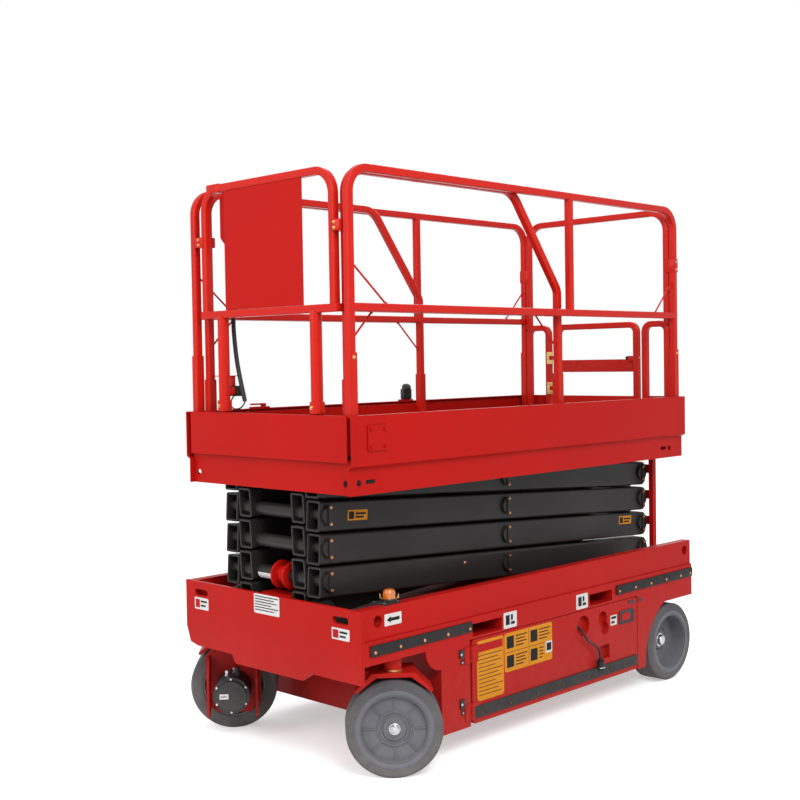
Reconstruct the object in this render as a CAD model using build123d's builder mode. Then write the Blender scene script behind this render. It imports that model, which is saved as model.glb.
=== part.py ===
"""Self-propelled electric scissor lift with four scissor levels, a sliding deck extension and steered wheels.

Millimetres. +X is forward (the steered end), +Y is the machine's left side, +Z is up.
The origin is on the floor, under the middle of the machine.
The front wheels rest on the right-hand steering lock and the scissor stack rests folded.
"""
import math
import os

from build123d import *

os.makedirs("parts", exist_ok=True)

# ---------------------------------------------------------------- driving sizes
# chassis
chassis_half_length = 1169.0
chassis_half_width = 552.5
belly_height = 106.0
bay_height = 358.0
floor_depth = 69.0
step_rise = 23.0
upper_rail_height = 120.0
upper_side_inset = 9.0
rail_width = 54.5
bay_wall = 318.0
bay_wall_thickness = 28.0
plate = 12.0
front_plate = 16.0
apron_drop = 68.0
chin_depth = 36.0
front_chin_half_width = 210.0
rear_sill = 90.0
front_pillar = 187.0
rear_pillar = 75.0
pillar_depth = 60.0
front_arch_radius = 90.0
tie_down_radius = 23.0

# fork pockets that run across the chassis
fork_pockets = ((347.0, 534.0), (-463.0, -282.0))
pocket_floor = 10.0
pocket_roof = 7.0

# wheels
wheel_radius = 190.5
wheel_width = 127.0
tyre_depth = 52.5
rear_axle_setback = 204.0
kingpin_setback = 219.0
kingpin_inset = 52.5
steer_lock = 42.0
kingpin_radius = 18.0
kingpin_boss_radius = 35.0
yoke_tyre_gap = 9.0
yoke_plate = 18.0
axle_radius = 22.0
yoke_reach = 120.0
yoke_flange_drop = 70.0
motor_radius = 78.0
motor_length = 150.0
wheel_gap = 12.0

# side doors with their swing-out trays
door_thickness = 30.0
door_gap = 6.0
door_corner = 16.0
tray_depth = 190.0
tray_floor = 8.0
battery_height = 255.0
hinge_inset = 57.0
hinge_radius = 9.0
hinge_pin_radius = 4.0
hinge_offset = 4.5

# steering linkage: arms on the yokes, tie rod and cylinder
tie_rod_arm = 130.0
tie_rod_inset = 25.0
cylinder_arm = 120.0
cylinder_inset = 20.0
link_eye_radius = 22.0
link_eye_height = 24.0
link_pin_radius = 9.0
steer_anchor_back = 90.0
steer_anchor_y = 60.0
steer_rod_showing = 165.0
steer_barrel_radius = 23.0
steer_rod_radius = 10.5

# scissor stack
levels = 4
level_pitch = 131.0
arm_gap = 11.0
arm_width = 78.0
arm_wall = 8.0
arm_corner = 10.0
rear_pin_setback = 64.0
stack_end_room = 138.0
lowest_pin_rise = 87.0
outer_arm_y = 217.0
inner_arm_y = 128.0
outer_arm_rise = -4.0
inner_arm_rise = 26.0
arm_front_overhang = 45.0
arm_rear_overhang = 44.0
arm_end_chamfer = 24.0
pin_radius = 25.0
pin_cap_radius = 36.0
pin_cap_height = 12.0
bush_radius = 33.5
pin_lug_radius = 38.0
cross_tube_radius = 28.0
lower_roller_radius = 56.0
upper_roller_radius = 45.0
roller_width = 54.0
track_overrun = 75.0
raise_angle = 52.3

# lift cylinder, between the first and the second inner arms
cylinder_foot = 110.0
cylinder_head = 220.0
barrel_radius = 55.0
rod_showing = 152.35
piston_rod_radius = 34.0
eye_radius = 42.0
eye_half_width = 36.0
eye_pin_radius = 20.0
lug_plate = 12.0

# platform
platform_overhang = 2.0
platform_half_width = 521.6
deck_above_pins = 98.0
deck_thickness = 18.0
skirt_depth = 136.5
skirt_bend_drop = 24.0
skirt_inset = 21.5
toe_board_height = 150.5
sheet = 5.0

# guard rails
rail_tube = 32.0
rail_corner = 6.0
rail_inset = 40.6
rail_height = 1108.0
mid_rail_height = 578.0
rail_bend = 95.0
rail_front_inset = 41.0
rail_rear_inset = 37.0
entry_post_y = 313.0
entry_bend = 40.0

# deck extension
nested_rail_gap = 14.0
extension_rear_x = -238.0
extension_floor = 6.0
extension_sheet = 4.0
front_hoop_inset = 39.0

# fits
running = 0.05
seat = 0.3
clear = 6.0

# ---------------------------------------------------------------- worked out
arch_top = belly_height + bay_height
well_floor = arch_top + floor_depth
step_height = well_floor + step_rise
chassis_top = step_height + upper_rail_height
rail_inner = chassis_half_width - rail_width
front_back = chassis_half_length - front_plate
pillar_inner = chassis_half_width - pillar_depth
apron_bottom = arch_top - apron_drop
chin_bottom = apron_bottom - chin_depth

rim_radius = wheel_radius - tyre_depth
rear_axle_x = -chassis_half_length + rear_axle_setback
rear_wheel_y = chassis_half_width - wheel_width / 2
kingpin_x = chassis_half_length - kingpin_setback
kingpin_y = chassis_half_width - kingpin_inset
front_arch_rear = kingpin_x - 222
rear_arch_front = rear_axle_x + 223
rear_arch_end = rear_axle_x + 54
rear_arch_top = 2 * wheel_radius + 18
yoke_plate_bottom = 2 * wheel_radius + yoke_tyre_gap
link_low = yoke_plate_bottom + yoke_plate + seat
steer_anchor_x = kingpin_x - steer_anchor_back

door_front = front_arch_rear - front_pillar
door_rear = rear_arch_front + rear_pillar
door_bottom = belly_height + door_gap
door_top = arch_top - door_gap / 2
door_hinge_x = door_front + door_gap
door_hinge_y = chassis_half_width + hinge_offset
hinge_heights = (door_bottom + hinge_inset, door_top - hinge_inset)
bay_rear = door_rear - door_gap
bay_front = door_front + 2 * door_gap
tray_bottom = door_bottom + plate + clear
tray_top = tray_bottom + tray_floor

arm_length = 2 * chassis_half_length - stack_end_room
arm_height = level_pitch - arm_gap
fold_angle = math.asin(level_pitch / arm_length)
rear_pin_x = -chassis_half_length + rear_pin_setback
front_pin_x = rear_pin_x + arm_length * math.cos(fold_angle)
lowest_pin_z = well_floor + lowest_pin_rise
arm_top_z = lowest_pin_z + levels * level_pitch
slide_end_x = rear_pin_x + arm_length * math.cos(fold_angle + math.radians(raise_angle))
outer_y = outer_arm_y + arm_width
inner_y = inner_arm_y + arm_width

platform_half_length = chassis_half_length + platform_overhang
deck_underside = arm_top_z + deck_above_pins
deck_top = deck_underside + deck_thickness
skirt_bottom = deck_underside - skirt_depth
skirt_bend = deck_underside - skirt_bend_drop
toe_board_top = deck_top + toe_board_height
rail_y = platform_half_width - rail_inset
top_z = deck_top + rail_height - rail_tube / 2
mid_z = deck_top + mid_rail_height - rail_tube / 2
rail_front_x = platform_half_length - rail_front_inset
rail_rear_x = -platform_half_length + rail_rear_inset
extension_rail_y = rail_y - rail_tube - nested_rail_gap


def slab(x, y, z, mode=Mode.ADD):
    """Add or cut a box from its low and high ends along X, Y and Z."""
    with Locations(((x[0] + x[1]) / 2, (y[0] + y[1]) / 2, (z[0] + z[1]) / 2)):
        Box(abs(x[1] - x[0]), abs(y[1] - y[0]), abs(z[1] - z[0]), mode=mode)


def bar_y(x, z, y, radius, mode=Mode.ADD):
    """Add or cut a round bar that lies along Y between two places."""
    with Locations(Location((x, (y[0] + y[1]) / 2, z), (90, 0, 0))):
        Cylinder(radius, abs(y[1] - y[0]), mode=mode)


def bar_z(x, y, z, radius, mode=Mode.ADD):
    """Add or cut an upright round bar between two heights."""
    with Locations((x, y, (z[0] + z[1]) / 2)):
        Cylinder(radius, abs(z[1] - z[0]), mode=mode)


def save(piece, name):
    """Label a finished piece and write it to its own file."""
    piece.part.label = name
    export_step(piece.part, f"parts/{name}.step")


# ---------------------------------------------------------------- chassis
def side_skin(side):
    """Outer plate of one side, cut out for the front arch, the door and the rear wheel."""
    arch_start = (front_arch_rear, arch_top - front_arch_radius)
    arch_end = (front_arch_rear + front_arch_radius, arch_top)
    with BuildSketch(Plane.XZ.offset(-side * chassis_half_width)) as skin:
        with BuildLine():
            Polyline((rear_arch_front, belly_height), (bay_rear, belly_height), (bay_rear, arch_top),
                     (bay_front, arch_top), (bay_front, belly_height), (front_arch_rear, belly_height),
                     arch_start)
            RadiusArc(arch_start, arch_end, -front_arch_radius)
            Polyline(arch_end, (front_back, arch_top), (front_back, step_height),
                     (-chassis_half_length, step_height), (-chassis_half_length, rear_arch_top),
                     (rear_arch_end, rear_arch_top))
            ThreePointArc((rear_arch_end, rear_arch_top), (rear_axle_x + 175, wheel_radius + 99.5),
                          (rear_arch_front, belly_height))
        make_face()
    extrude(skin.sketch, amount=side * plate)


# walls between the belly and the floor box, and the rear axle
rim_inner_face = rear_wheel_y - wheel_width / 2
axle_block = 75.0
axle_end = rear_wheel_y + 11
cross_walls = (front_arch_rear - plate, bay_rear - plate)

with BuildPart() as chassis_frame:
    # floor box under the scissor arms, over the full width
    slab((-chassis_half_length, front_back), (-chassis_half_width + 1, chassis_half_width - 1),
         (arch_top, well_floor))
    for side in (1, -1):
        side_skin(side)
        # side rail: a lower part flush with the skin and an upper part set back from it
        slab((-chassis_half_length, front_back), (side * rail_inner, side * chassis_half_width),
             (arch_top, step_height))
        slab((-chassis_half_length, front_back),
             (side * rail_inner, side * (chassis_half_width - upper_side_inset)), (step_height, chassis_top))
        # pillar between the front arch and the door
        slab((bay_front, front_arch_rear), (side * pillar_inner, side * chassis_half_width),
             (belly_height, arch_top))
        # inner wall of the door bay and of the rear wheel well
        slab((-chassis_half_length, front_arch_rear),
             (side * (bay_wall - bay_wall_thickness), side * bay_wall), (belly_height, arch_top))
    # belly, and the cross walls ahead of and behind the door bays
    slab((-chassis_half_length + 60, front_arch_rear), (-bay_wall + 1, bay_wall - 1),
         (belly_height, belly_height + plate))
    for x in cross_walls:
        slab((x, x + plate), (-pillar_inner, pillar_inner), (belly_height, arch_top))
    # rear wall between the wheels, open below for the belly's rear end
    slab((-chassis_half_length, -chassis_half_length + plate), (-bay_wall, bay_wall),
         (belly_height + rear_sill, arch_top))
    for pocket in fork_pockets:
        slab(pocket, (-chassis_half_width - 1, chassis_half_width + 1),
             (arch_top + pocket_floor, well_floor - pocket_roof), mode=Mode.SUBTRACT)
    for side in (1, -1):
        # round tie-down holes through the side rails
        for hole_x, drop in ((chassis_half_length - 98, 52), (-chassis_half_length + 53, 47)):
            bar_y(hole_x, chassis_top - drop, (side * (rail_inner - 8), side * (chassis_half_width + 48)),
                  tie_down_radius, mode=Mode.SUBTRACT)
        # block and stub axle of the rear wheel
        slab((rear_axle_x - axle_block, rear_axle_x + axle_block),
             (side * (bay_wall - 1), side * (rim_inner_face - 17.5)),
             (wheel_radius - axle_block, wheel_radius + axle_block))
        bar_y(rear_axle_x, wheel_radius, (side * (rim_inner_face - 25), side * axle_end), axle_radius)
        # lugs that hold the rear ends of the lowest outer arms
        lug = (side * (inner_arm_y + 12), side * (inner_y - 2))
        slab((rear_pin_x - pin_lug_radius, rear_pin_x + pin_lug_radius), lug, (well_floor - 1, lowest_pin_z))
        bar_y(rear_pin_x, lowest_pin_z, lug, pin_lug_radius)
        bar_y(rear_pin_x, lowest_pin_z, (side * (inner_arm_y + 11), side * (inner_y - 1)),
              pin_radius + running, mode=Mode.SUBTRACT)
        # kingpin bosses under the front of the side rails
        bar_z(kingpin_x, side * kingpin_y, (link_low, arch_top + 1), kingpin_boss_radius)
        bar_z(kingpin_x, side * kingpin_y, (yoke_plate_bottom, arch_top - 5), kingpin_radius + running,
              mode=Mode.SUBTRACT)
        # door hinges: room for the door's knuckle, then the fixed leaf, two knuckles and the pin
        axis_y = side * door_hinge_y
        for height in hinge_heights:
            bar_z(door_hinge_x, axis_y, (height - 16, height + 16), hinge_radius + 1.5, mode=Mode.SUBTRACT)
            slab((door_hinge_x + 11, door_hinge_x + 42), (side * (chassis_half_width - 1), axis_y),
                 (height - 35, height + 35))
            for low in (height - 35, height + 16):
                bar_z(door_hinge_x, axis_y, (low, low + 19), hinge_radius)
                slab((door_hinge_x, door_hinge_x + 12), (side * (chassis_half_width + 0.5), axis_y),
                     (low, low + 19))
            bar_z(door_hinge_x, axis_y, (height - 35, height + 35), hinge_pin_radius)
    # bracket and pin of the steering cylinder, hung under the floor box
    bar_z(steer_anchor_x, steer_anchor_y, (link_low + link_eye_height + seat, arch_top + 1), 20)
    bar_z(steer_anchor_x, steer_anchor_y, (link_low - 8, link_low + link_eye_height + 1), link_pin_radius)
    bar_z(steer_anchor_x, steer_anchor_y, (link_low - 12, link_low - seat), link_pin_radius + 8)
save(chassis_frame, "chassis_frame")

with BuildPart() as front_panel:
    with BuildSketch(Plane.YZ.offset(front_back)):
        with BuildLine():
            Polyline(
                (-chassis_half_width + 2, apron_bottom + 80),
                (-chassis_half_width + 28, apron_bottom + 12),
                (-chassis_half_width + 80, apron_bottom),
                (-front_chin_half_width - 26, apron_bottom),
                (-front_chin_half_width, chin_bottom),
                (front_chin_half_width, chin_bottom),
                (front_chin_half_width + 62, apron_bottom),
                (chassis_half_width, apron_bottom),
                (chassis_half_width, chassis_top),
                (-chassis_half_width + 2, chassis_top),
                close=True,
            )
        make_face()
    extrude(amount=front_plate)
    for side in (1, -1):
        with BuildSketch(Plane.YZ.offset(front_back)):
            with Locations((side * (chassis_half_width - 112.5), chassis_top - 46)):
                SlotOverall(90, 28)
        extrude(amount=front_plate, mode=Mode.SUBTRACT)
save(front_panel, "front_panel")

roller_inner = outer_arm_y + 2
track_lip = 8.0
with BuildPart() as slide_tracks:
    for side in (1, -1):
        track_x = (slide_end_x - track_overrun, front_pin_x + 45)
        track_top = lowest_pin_z - lower_roller_radius - seat
        track_outer = roller_inner + roller_width + 19
        slab(track_x, (side * (roller_inner - 7), side * track_outer), (well_floor, track_top))
        slab(track_x, (side * (track_outer - track_lip), side * track_outer), (well_floor, track_top + 34))
save(slide_tracks, "slide_tracks")

# ---------------------------------------------------------------- beacon and ladder
beacon_x = chassis_half_length - 205
beacon_y = chassis_half_width - 52.5
beacon_radius = 25.0
with BuildPart() as beacon_base:
    slab((beacon_x - 30, beacon_x + 62), (beacon_y - 42, beacon_y + 34), (chassis_top, chassis_top + 6))
    bar_z(beacon_x, beacon_y, (chassis_top + 6, chassis_top + 16), beacon_radius + 2)
save(beacon_base, "beacon_base")

with BuildPart() as beacon_dome:
    with BuildSketch(Plane(origin=(beacon_x, beacon_y, chassis_top + 16), x_dir=(1, 0, 0), z_dir=(0, -1, 0))):
        with BuildLine():
            Polyline((0, 0), (beacon_radius, 0), (beacon_radius, 25), (beacon_radius - 5, 34),
                     (beacon_radius - 14, 38), (0, 38), close=True)
        make_face()
    revolve(axis=Axis((beacon_x, beacon_y, 0), (0, 0, 1)))
save(beacon_dome, "beacon_dome")

ladder_y = (320.0, 345.0)
ladder_rail = 30.0
ladder_top = skirt_bottom - 20.5
rung_height = 45.0
rung_pitch = 135.0
ladder_rear = -platform_half_length
with BuildPart() as ladder:
    for side in (1, -1):
        slab((ladder_rear, ladder_rear + ladder_rail), (side * ladder_y[0], side * ladder_y[1]),
             (well_floor + seat, ladder_top))
    for step in range(3):
        low = chassis_top + 60 + step * rung_pitch
        slab((ladder_rear, ladder_rear + 4.4), (-ladder_y[0], ladder_y[0]), (low, low + rung_height))
save(ladder, "ladder")

# ---------------------------------------------------------------- wheels
def wheel_plane(centre_x, centre_y, turn, side):
    """Plane of a wheel: origin at its centre, local z along the axle towards the outside."""
    angle = math.radians(turn)
    outward = (side * -math.sin(angle), side * math.cos(angle), 0)
    return Plane(origin=(centre_x, centre_y, wheel_radius), x_dir=(0, 0, 1), z_dir=outward)


wheels = (  # name, centre x, centre y, turn, side, web recess from the outer face, ribs on the web
    ("front_left", kingpin_x, kingpin_y, -steer_lock, 1, 22.0, 8),
    ("front_right", kingpin_x, -kingpin_y, -steer_lock, -1, 22.0, 8),
    ("rear_left", rear_axle_x, rear_wheel_y, 0.0, 1, 74.0, 0),
    ("rear_right", rear_axle_x, -rear_wheel_y, 0.0, -1, 74.0, 0),
)
shoulder = 9.0
rim_wall = 9.0
rim_lip = 3.0
web = 12.0
hub_radius = 44.0
hub_ring = 68.0
half = wheel_width / 2
for name, centre_x, centre_y, turn, side, recess, ribs in wheels:
    place = wheel_plane(centre_x, centre_y, turn, side)
    spin = Axis(place.origin, place.z_dir)
    section = Plane(origin=place.origin, x_dir=place.x_dir, z_dir=-place.y_dir)
    with BuildPart() as tyre:
        with BuildSketch(section):
            with BuildLine():
                Polyline((rim_radius, -half), (wheel_radius - shoulder, -half),
                         (wheel_radius, -half + shoulder), (wheel_radius, half - shoulder),
                         (wheel_radius - shoulder, half), (rim_radius, half), close=True)
            make_face()
        revolve(axis=spin)
    save(tyre, f"tyre_{name}")
    with BuildPart() as rim:
        outer_radius = rim_radius - 0.1
        barrel = outer_radius - rim_wall
        web_out = half - recess
        with BuildSketch(section):
            with BuildLine():
                Polyline((axle_radius + running, web_out - web), (hub_radius, web_out - web - 14),
                         (hub_radius + 4, web_out - web), (barrel, web_out - web), (barrel, -half + rim_lip),
                         (outer_radius, -half + rim_lip), (outer_radius, half - rim_lip),
                         (barrel, half - rim_lip), (barrel - 4, web_out), (hub_ring + 4, web_out),
                         (hub_ring, web_out + 6), (hub_ring - 5, web_out + 6), (hub_ring - 7, web_out),
                         (hub_radius + 6, web_out), (hub_radius, web_out + 10),
                         (axle_radius + running, web_out + 10), close=True)
            make_face()
        revolve(axis=spin)
        if ribs:
            # thin ribs between the hub ring and the rim
            with BuildSketch(place.offset(web_out - 1)) as spokes:
                with PolarLocations((hub_ring + barrel) / 2, ribs):
                    Rectangle(barrel - hub_ring, 5)
            extrude(spokes.sketch, amount=6)
    save(rim, f"rim_{name}")

# ---------------------------------------------------------------- steering yokes and drive motors
ahead = Vector(math.cos(math.radians(-steer_lock)), math.sin(math.radians(-steer_lock)), 0)
to_left = Vector(-ahead.Y, ahead.X, 0)
inner_face = half + wheel_gap


def yoke_point(side, forward, outward, height=0.0):
    """Point on a yoke at rest, from its kingpin: forward along the wheel, outward to the wheel's outside."""
    return Vector(kingpin_x, side * kingpin_y, height) + ahead * forward + to_left * (side * outward)


def upright_plane(origin, x_dir):
    """Upright plane through a point: x along a level direction, y up."""
    return Plane(origin=origin, x_dir=x_dir, z_dir=x_dir.cross(Vector(0, 0, 1)))


for name, side in (("left", 1), ("right", -1)):
    plan = Plane(origin=yoke_point(side, 0, 0, yoke_plate_bottom), x_dir=ahead, z_dir=(0, 0, 1))
    toe = wheel_radius - 112.5
    knee = wheel_radius - 70.5
    waist = wheel_radius + 139.5
    arms = [(tie_rod_arm, -side * tie_rod_inset)]
    if side < 0:
        arms.append((-cylinder_arm, -side * cylinder_inset))
    with BuildPart() as yoke:
        # top plate with the arms for the tie rod and, on the right, for the steering cylinder
        with BuildSketch(plan) as top:
            with Locations((0, -side * 30)):
                Rectangle(2 * 88, 160)
            for forward, left in arms:
                with Locations((forward / 2, left)):
                    Rectangle(abs(forward), 50)
                with Locations((forward, left)):
                    Circle(25)
        extrude(top.sketch, amount=yoke_plate)
        bar_z(kingpin_x, side * kingpin_y, (yoke_plate_bottom + yoke_plate - 1, arch_top - 6), kingpin_radius)
        # bent-down ends of the top plate over the tyre
        for end in (1, -1):
            bend = upright_plane(yoke_point(side, 0, -inner_face), ahead)
            crest = yoke_plate_bottom + yoke_plate
            with BuildSketch(bend) as flange:
                with BuildLine():
                    Polyline((end * 84, crest), (end * (84 + yoke_flange_drop), crest - yoke_flange_drop),
                             (end * (76 + yoke_flange_drop), crest - 8 - yoke_flange_drop),
                             (end * 67, crest - yoke_plate + 1), close=True)
                make_face()
            extrude(flange.sketch, amount=-side * (inner_face + 50))
        # motor plate inside the wheel, with its lower corners cut, bored for the drive shaft
        with BuildSketch(upright_plane(yoke_point(side, 0, -inner_face), ahead)) as web_plate:
            with BuildLine():
                Polyline((-yoke_reach, knee), (-70, toe), (70, toe), (yoke_reach, knee),
                         (yoke_reach, waist), (70, yoke_plate_bottom + 2), (-70, yoke_plate_bottom + 2),
                         (-yoke_reach, waist), close=True)
            make_face()
            with Locations((0, wheel_radius)):
                Circle(axle_radius + seat, mode=Mode.SUBTRACT)
        extrude(web_plate.sketch, amount=side * plate)
        # flanges that guard the motor fore and aft
        for end in (1, -1):
            corner = yoke_point(side, end * (yoke_reach - 10), -inner_face)
            with BuildSketch(upright_plane(corner, to_left * -side)) as guard:
                with BuildLine():
                    Polyline((plate - 1, knee), (20, toe), (100, toe), (100, wheel_radius + 59.5),
                             (52, waist), (plate - 1, waist), close=True)
                make_face()
            extrude(guard.sketch, amount=side * end * 10)
    save(yoke, f"yoke_{name}")
    with BuildPart() as motor:
        back = Plane(origin=yoke_point(side, 0, -inner_face - plate - seat, wheel_radius), x_dir=(0, 0, 1),
                     z_dir=to_left * -side)
        with BuildSketch(back) as can:
            Circle(motor_radius)
        extrude(can.sketch, amount=motor_length)
        with BuildSketch(back.offset(motor_length)) as cap:
            Circle(motor_radius - 14)
        extrude(cap.sketch, amount=14)
        with BuildSketch(back) as stub:
            Circle(axle_radius)
        extrude(stub.sketch, amount=-(plate + seat + wheel_gap + wheel_width - wheels[0][5] + 8))
    save(motor, f"drive_motor_{name}")

# ---------------------------------------------------------------- tie rod and steering cylinder
link_middle = link_low + link_eye_height / 2
left_eye = yoke_point(1, tie_rod_arm, -tie_rod_inset, link_middle)
right_eye = yoke_point(-1, tie_rod_arm, -tie_rod_inset, link_middle)
cylinder_anchor = Vector(steer_anchor_x, steer_anchor_y, link_middle)
cylinder_eye = yoke_point(-1, -cylinder_arm, -cylinder_inset, link_middle)
steer_closed = (cylinder_eye - cylinder_anchor).length
steer_barrel_length = steer_closed - steer_rod_showing


def link_eye(place, mode=Mode.ADD):
    """Flat eye of a link with the head of its stud on top."""
    bar_z(place.X, place.Y, (link_low, link_low + link_eye_height), link_eye_radius, mode)
    bar_z(place.X, place.Y, (link_low + link_eye_height - 1, link_low + link_eye_height + 8),
          link_pin_radius + 5, mode)


def rod(start, end, first, last, radius, mode=Mode.ADD):
    """Round rod on the line from one point to another, between two distances from the first."""
    line = (end - start).normalized()
    with BuildSketch(Plane(origin=start + line * first, z_dir=line)) as section:
        Circle(radius)
    extrude(section.sketch, amount=last - first, mode=mode)


with BuildPart() as tie_rod:
    link_eye(left_eye)
    link_eye(right_eye)
    rod(left_eye, right_eye, 15, (right_eye - left_eye).length - 15, steer_rod_radius)
save(tie_rod, "tie_rod")

with BuildPart() as steer_barrel:
    bar_z(steer_anchor_x, steer_anchor_y, (link_low, link_low + link_eye_height), link_eye_radius)
    rod(cylinder_anchor, cylinder_eye, 15, 36, steer_rod_radius)
    rod(cylinder_anchor, cylinder_eye, 35, steer_barrel_length, steer_barrel_radius)
    bar_z(steer_anchor_x, steer_anchor_y, (link_low - 1, link_low + link_eye_height + 1),
          link_pin_radius + running, mode=Mode.SUBTRACT)
    rod(cylinder_anchor, cylinder_eye, 60, steer_barrel_length + 1, steer_rod_radius + running,
        mode=Mode.SUBTRACT)
save(steer_barrel, "steer_barrel")

with BuildPart() as steer_rod:
    link_eye(cylinder_eye)
    rod(cylinder_anchor, cylinder_eye, 62, steer_closed - 15, steer_rod_radius)
save(steer_rod, "steer_rod")

# ---------------------------------------------------------------- doors with their trays
for name, side in (("left", 1), ("right", -1)):
    back = side * (chassis_half_width - door_thickness)
    axis_x = door_hinge_x
    axis_y = side * door_hinge_y
    with BuildPart() as door:
        with BuildSketch(Plane.XZ.offset(-back)) as panel:
            with BuildLine():
                Polyline((door_rear, door_bottom), (door_front, door_bottom), (door_front, door_top),
                         (door_rear, door_top), close=True)
            make_face()
            fillet(panel.vertices().group_by(Axis.Z)[0], door_corner)
        extrude(panel.sketch, amount=-side * door_thickness)
        for height in hinge_heights:
            bar_z(axis_x, axis_y, (height - 36, height + 36), hinge_radius + 1.5, mode=Mode.SUBTRACT)
        # recesses: socket, switch and charger inlet, and the square step pocket
        recess = (side * (chassis_half_width - 24), side * (chassis_half_width + 1))
        for from_rear, drop, radius in ((434, 70, 47), (282, 63, 36), (265, 109, 30)):
            bar_y(door_rear + from_rear, door_top - drop, recess, radius, mode=Mode.SUBTRACT)
        slab((door_rear + 229, door_rear + 311), recess, (door_bottom + 98, door_bottom + 162),
             mode=Mode.SUBTRACT)
        # tray floor
        slab((door_rear + 27, door_front - 21), (back, back - side * tray_depth), (tray_bottom, tray_top))
        # hinge leaves and knuckles
        for height in hinge_heights:
            slab((axis_x - 42, axis_x - 11), (side * (chassis_half_width - 1), axis_y),
                 (height - 35, height + 35))
            slab((axis_x - 12, axis_x), (side * (chassis_half_width + 0.5), axis_y),
                 (height - 15, height + 15))
            bar_z(axis_x, axis_y, (height - 15, height + 15), hinge_radius)
            bar_z(axis_x, axis_y, (height - 16, height + 16), hinge_pin_radius + running, mode=Mode.SUBTRACT)
    save(door, f"door_{name}")

door_inner = chassis_half_width - door_thickness
load_y = (door_inner - 12, door_inner - tray_depth + 8)
load_x = (door_rear + 107, door_front - 61)
with BuildPart() as battery_pack:
    slab(load_x, load_y, (tray_top, tray_top + battery_height))
save(battery_pack, "battery_pack")

tank_end = load_x[0] + 500.0
tank_height = 215.0
pump_height = 120.0
with BuildPart() as hydraulic_unit:
    y = (-load_y[0], -load_y[1])
    slab((load_x[0], tank_end), y, (tray_top, tray_top + tank_height))
    slab((tank_end + 40, load_x[1]), y, (tray_top, tray_top + pump_height))
save(hydraulic_unit, "hydraulic_unit")

# ---------------------------------------------------------------- scissor arms
def node_place(end, level):
    """Place of a pin: end 0 at the rear, 0.5 in the middle, 1 at the front; levels count from the lowest."""
    x = rear_pin_x + (front_pin_x - rear_pin_x) * end
    return x, lowest_pin_z + level * level_pitch


def arm_tube(side, y_in, rear_level, slope, rise):
    """Square tube of one arm, open at both ends, with its rear corners cut."""
    angle = slope * fold_angle
    along = Vector(math.cos(angle), 0, math.sin(angle))
    upward = Vector(-math.sin(angle), 0, math.cos(angle))
    x, z = node_place(0, rear_level)
    rear = Vector(x, side * (y_in + arm_width / 2), z) + upward * rise - along * arm_rear_overhang
    section = Plane(origin=rear, x_dir=(0, 1, 0), z_dir=along)
    length = arm_rear_overhang + arm_length + arm_front_overhang
    with BuildSketch(section) as tube:
        RectangleRounded(arm_width, arm_height, arm_corner)
        RectangleRounded(arm_width - 2 * arm_wall, arm_height - 2 * arm_wall, arm_corner - arm_wall + 2,
                         mode=Mode.SUBTRACT)
    extrude(tube.sketch, amount=length)
    cutter = Plane(origin=rear + Vector(0, side * (arm_width / 2 + 1), 0), x_dir=along, z_dir=(0, -side, 0))
    for edge in (1, -1):
        with BuildSketch(cutter) as corner:
            with BuildLine():
                Polyline((-1, edge * (arm_height / 2 + 1)), (arm_end_chamfer, edge * (arm_height / 2 + 1)),
                         (-1, edge * (arm_height / 2 - arm_end_chamfer)), close=True)
            make_face()
        extrude(corner.sketch, amount=arm_width + 2, mode=Mode.SUBTRACT)


for level in range(1, levels + 1):
    with BuildPart() as outer_arm:
        for side in (1, -1):
            arm_tube(side, outer_arm_y, level - 1, 1, outer_arm_rise)
            for end, node in ((0, level - 1), (0.5, level - 0.5), (1, level)):
                x, z = node_place(end, node)
                top_front = level == levels and end == 1
                stub = outer_arm_y if top_front else inner_arm_y + 2
                bar_y(x, z, (side * stub, side * outer_y), pin_radius)
                if not top_front:
                    bar_y(x, z, (side * (inner_y + 0.5), side * (outer_arm_y + 1)), bush_radius)
                    bar_y(x, z, (side * outer_y, side * (outer_y + pin_cap_height)), pin_cap_radius)
                else:
                    roller_outer = outer_y + 10 + roller_width
                    bar_y(x, z, (side * outer_y, side * roller_outer), pin_radius)
                    bar_y(x, z, (side * (outer_y + 10), side * roller_outer), upper_roller_radius)
    save(outer_arm, f"outer_arms_{level}")
    with BuildPart() as inner_arm:
        for side in (1, -1):
            arm_tube(side, inner_arm_y, level, -1, inner_arm_rise)
            for end, node in ((0, level), (0.5, level - 0.5), (1, level - 1)):
                x, z = node_place(end, node)
                bar_y(x, z, (side * inner_arm_y, side * inner_y), bush_radius)
                if level == 1 and end == 1:
                    bar_y(x, z, (side * inner_arm_y, side * (roller_inner + roller_width)), pin_radius)
                    bar_y(x, z, (side * roller_inner, side * (roller_inner + roller_width)),
                          lower_roller_radius)
                else:
                    bar_y(x, z, (side * (inner_arm_y - 1), side * (inner_y + 1)), pin_radius + running,
                          mode=Mode.SUBTRACT)
    save(inner_arm, f"inner_arms_{level}")

# ---------------------------------------------------------------- cross tubes and the lift cylinder
def on_inner_arm(level, from_front):
    """Point on the pin line of an inner arm, measured back from its front pin."""
    x, z = node_place(1, level - 1)
    return Vector(x - from_front * math.cos(fold_angle), 0, z + from_front * math.sin(fold_angle))


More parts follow.
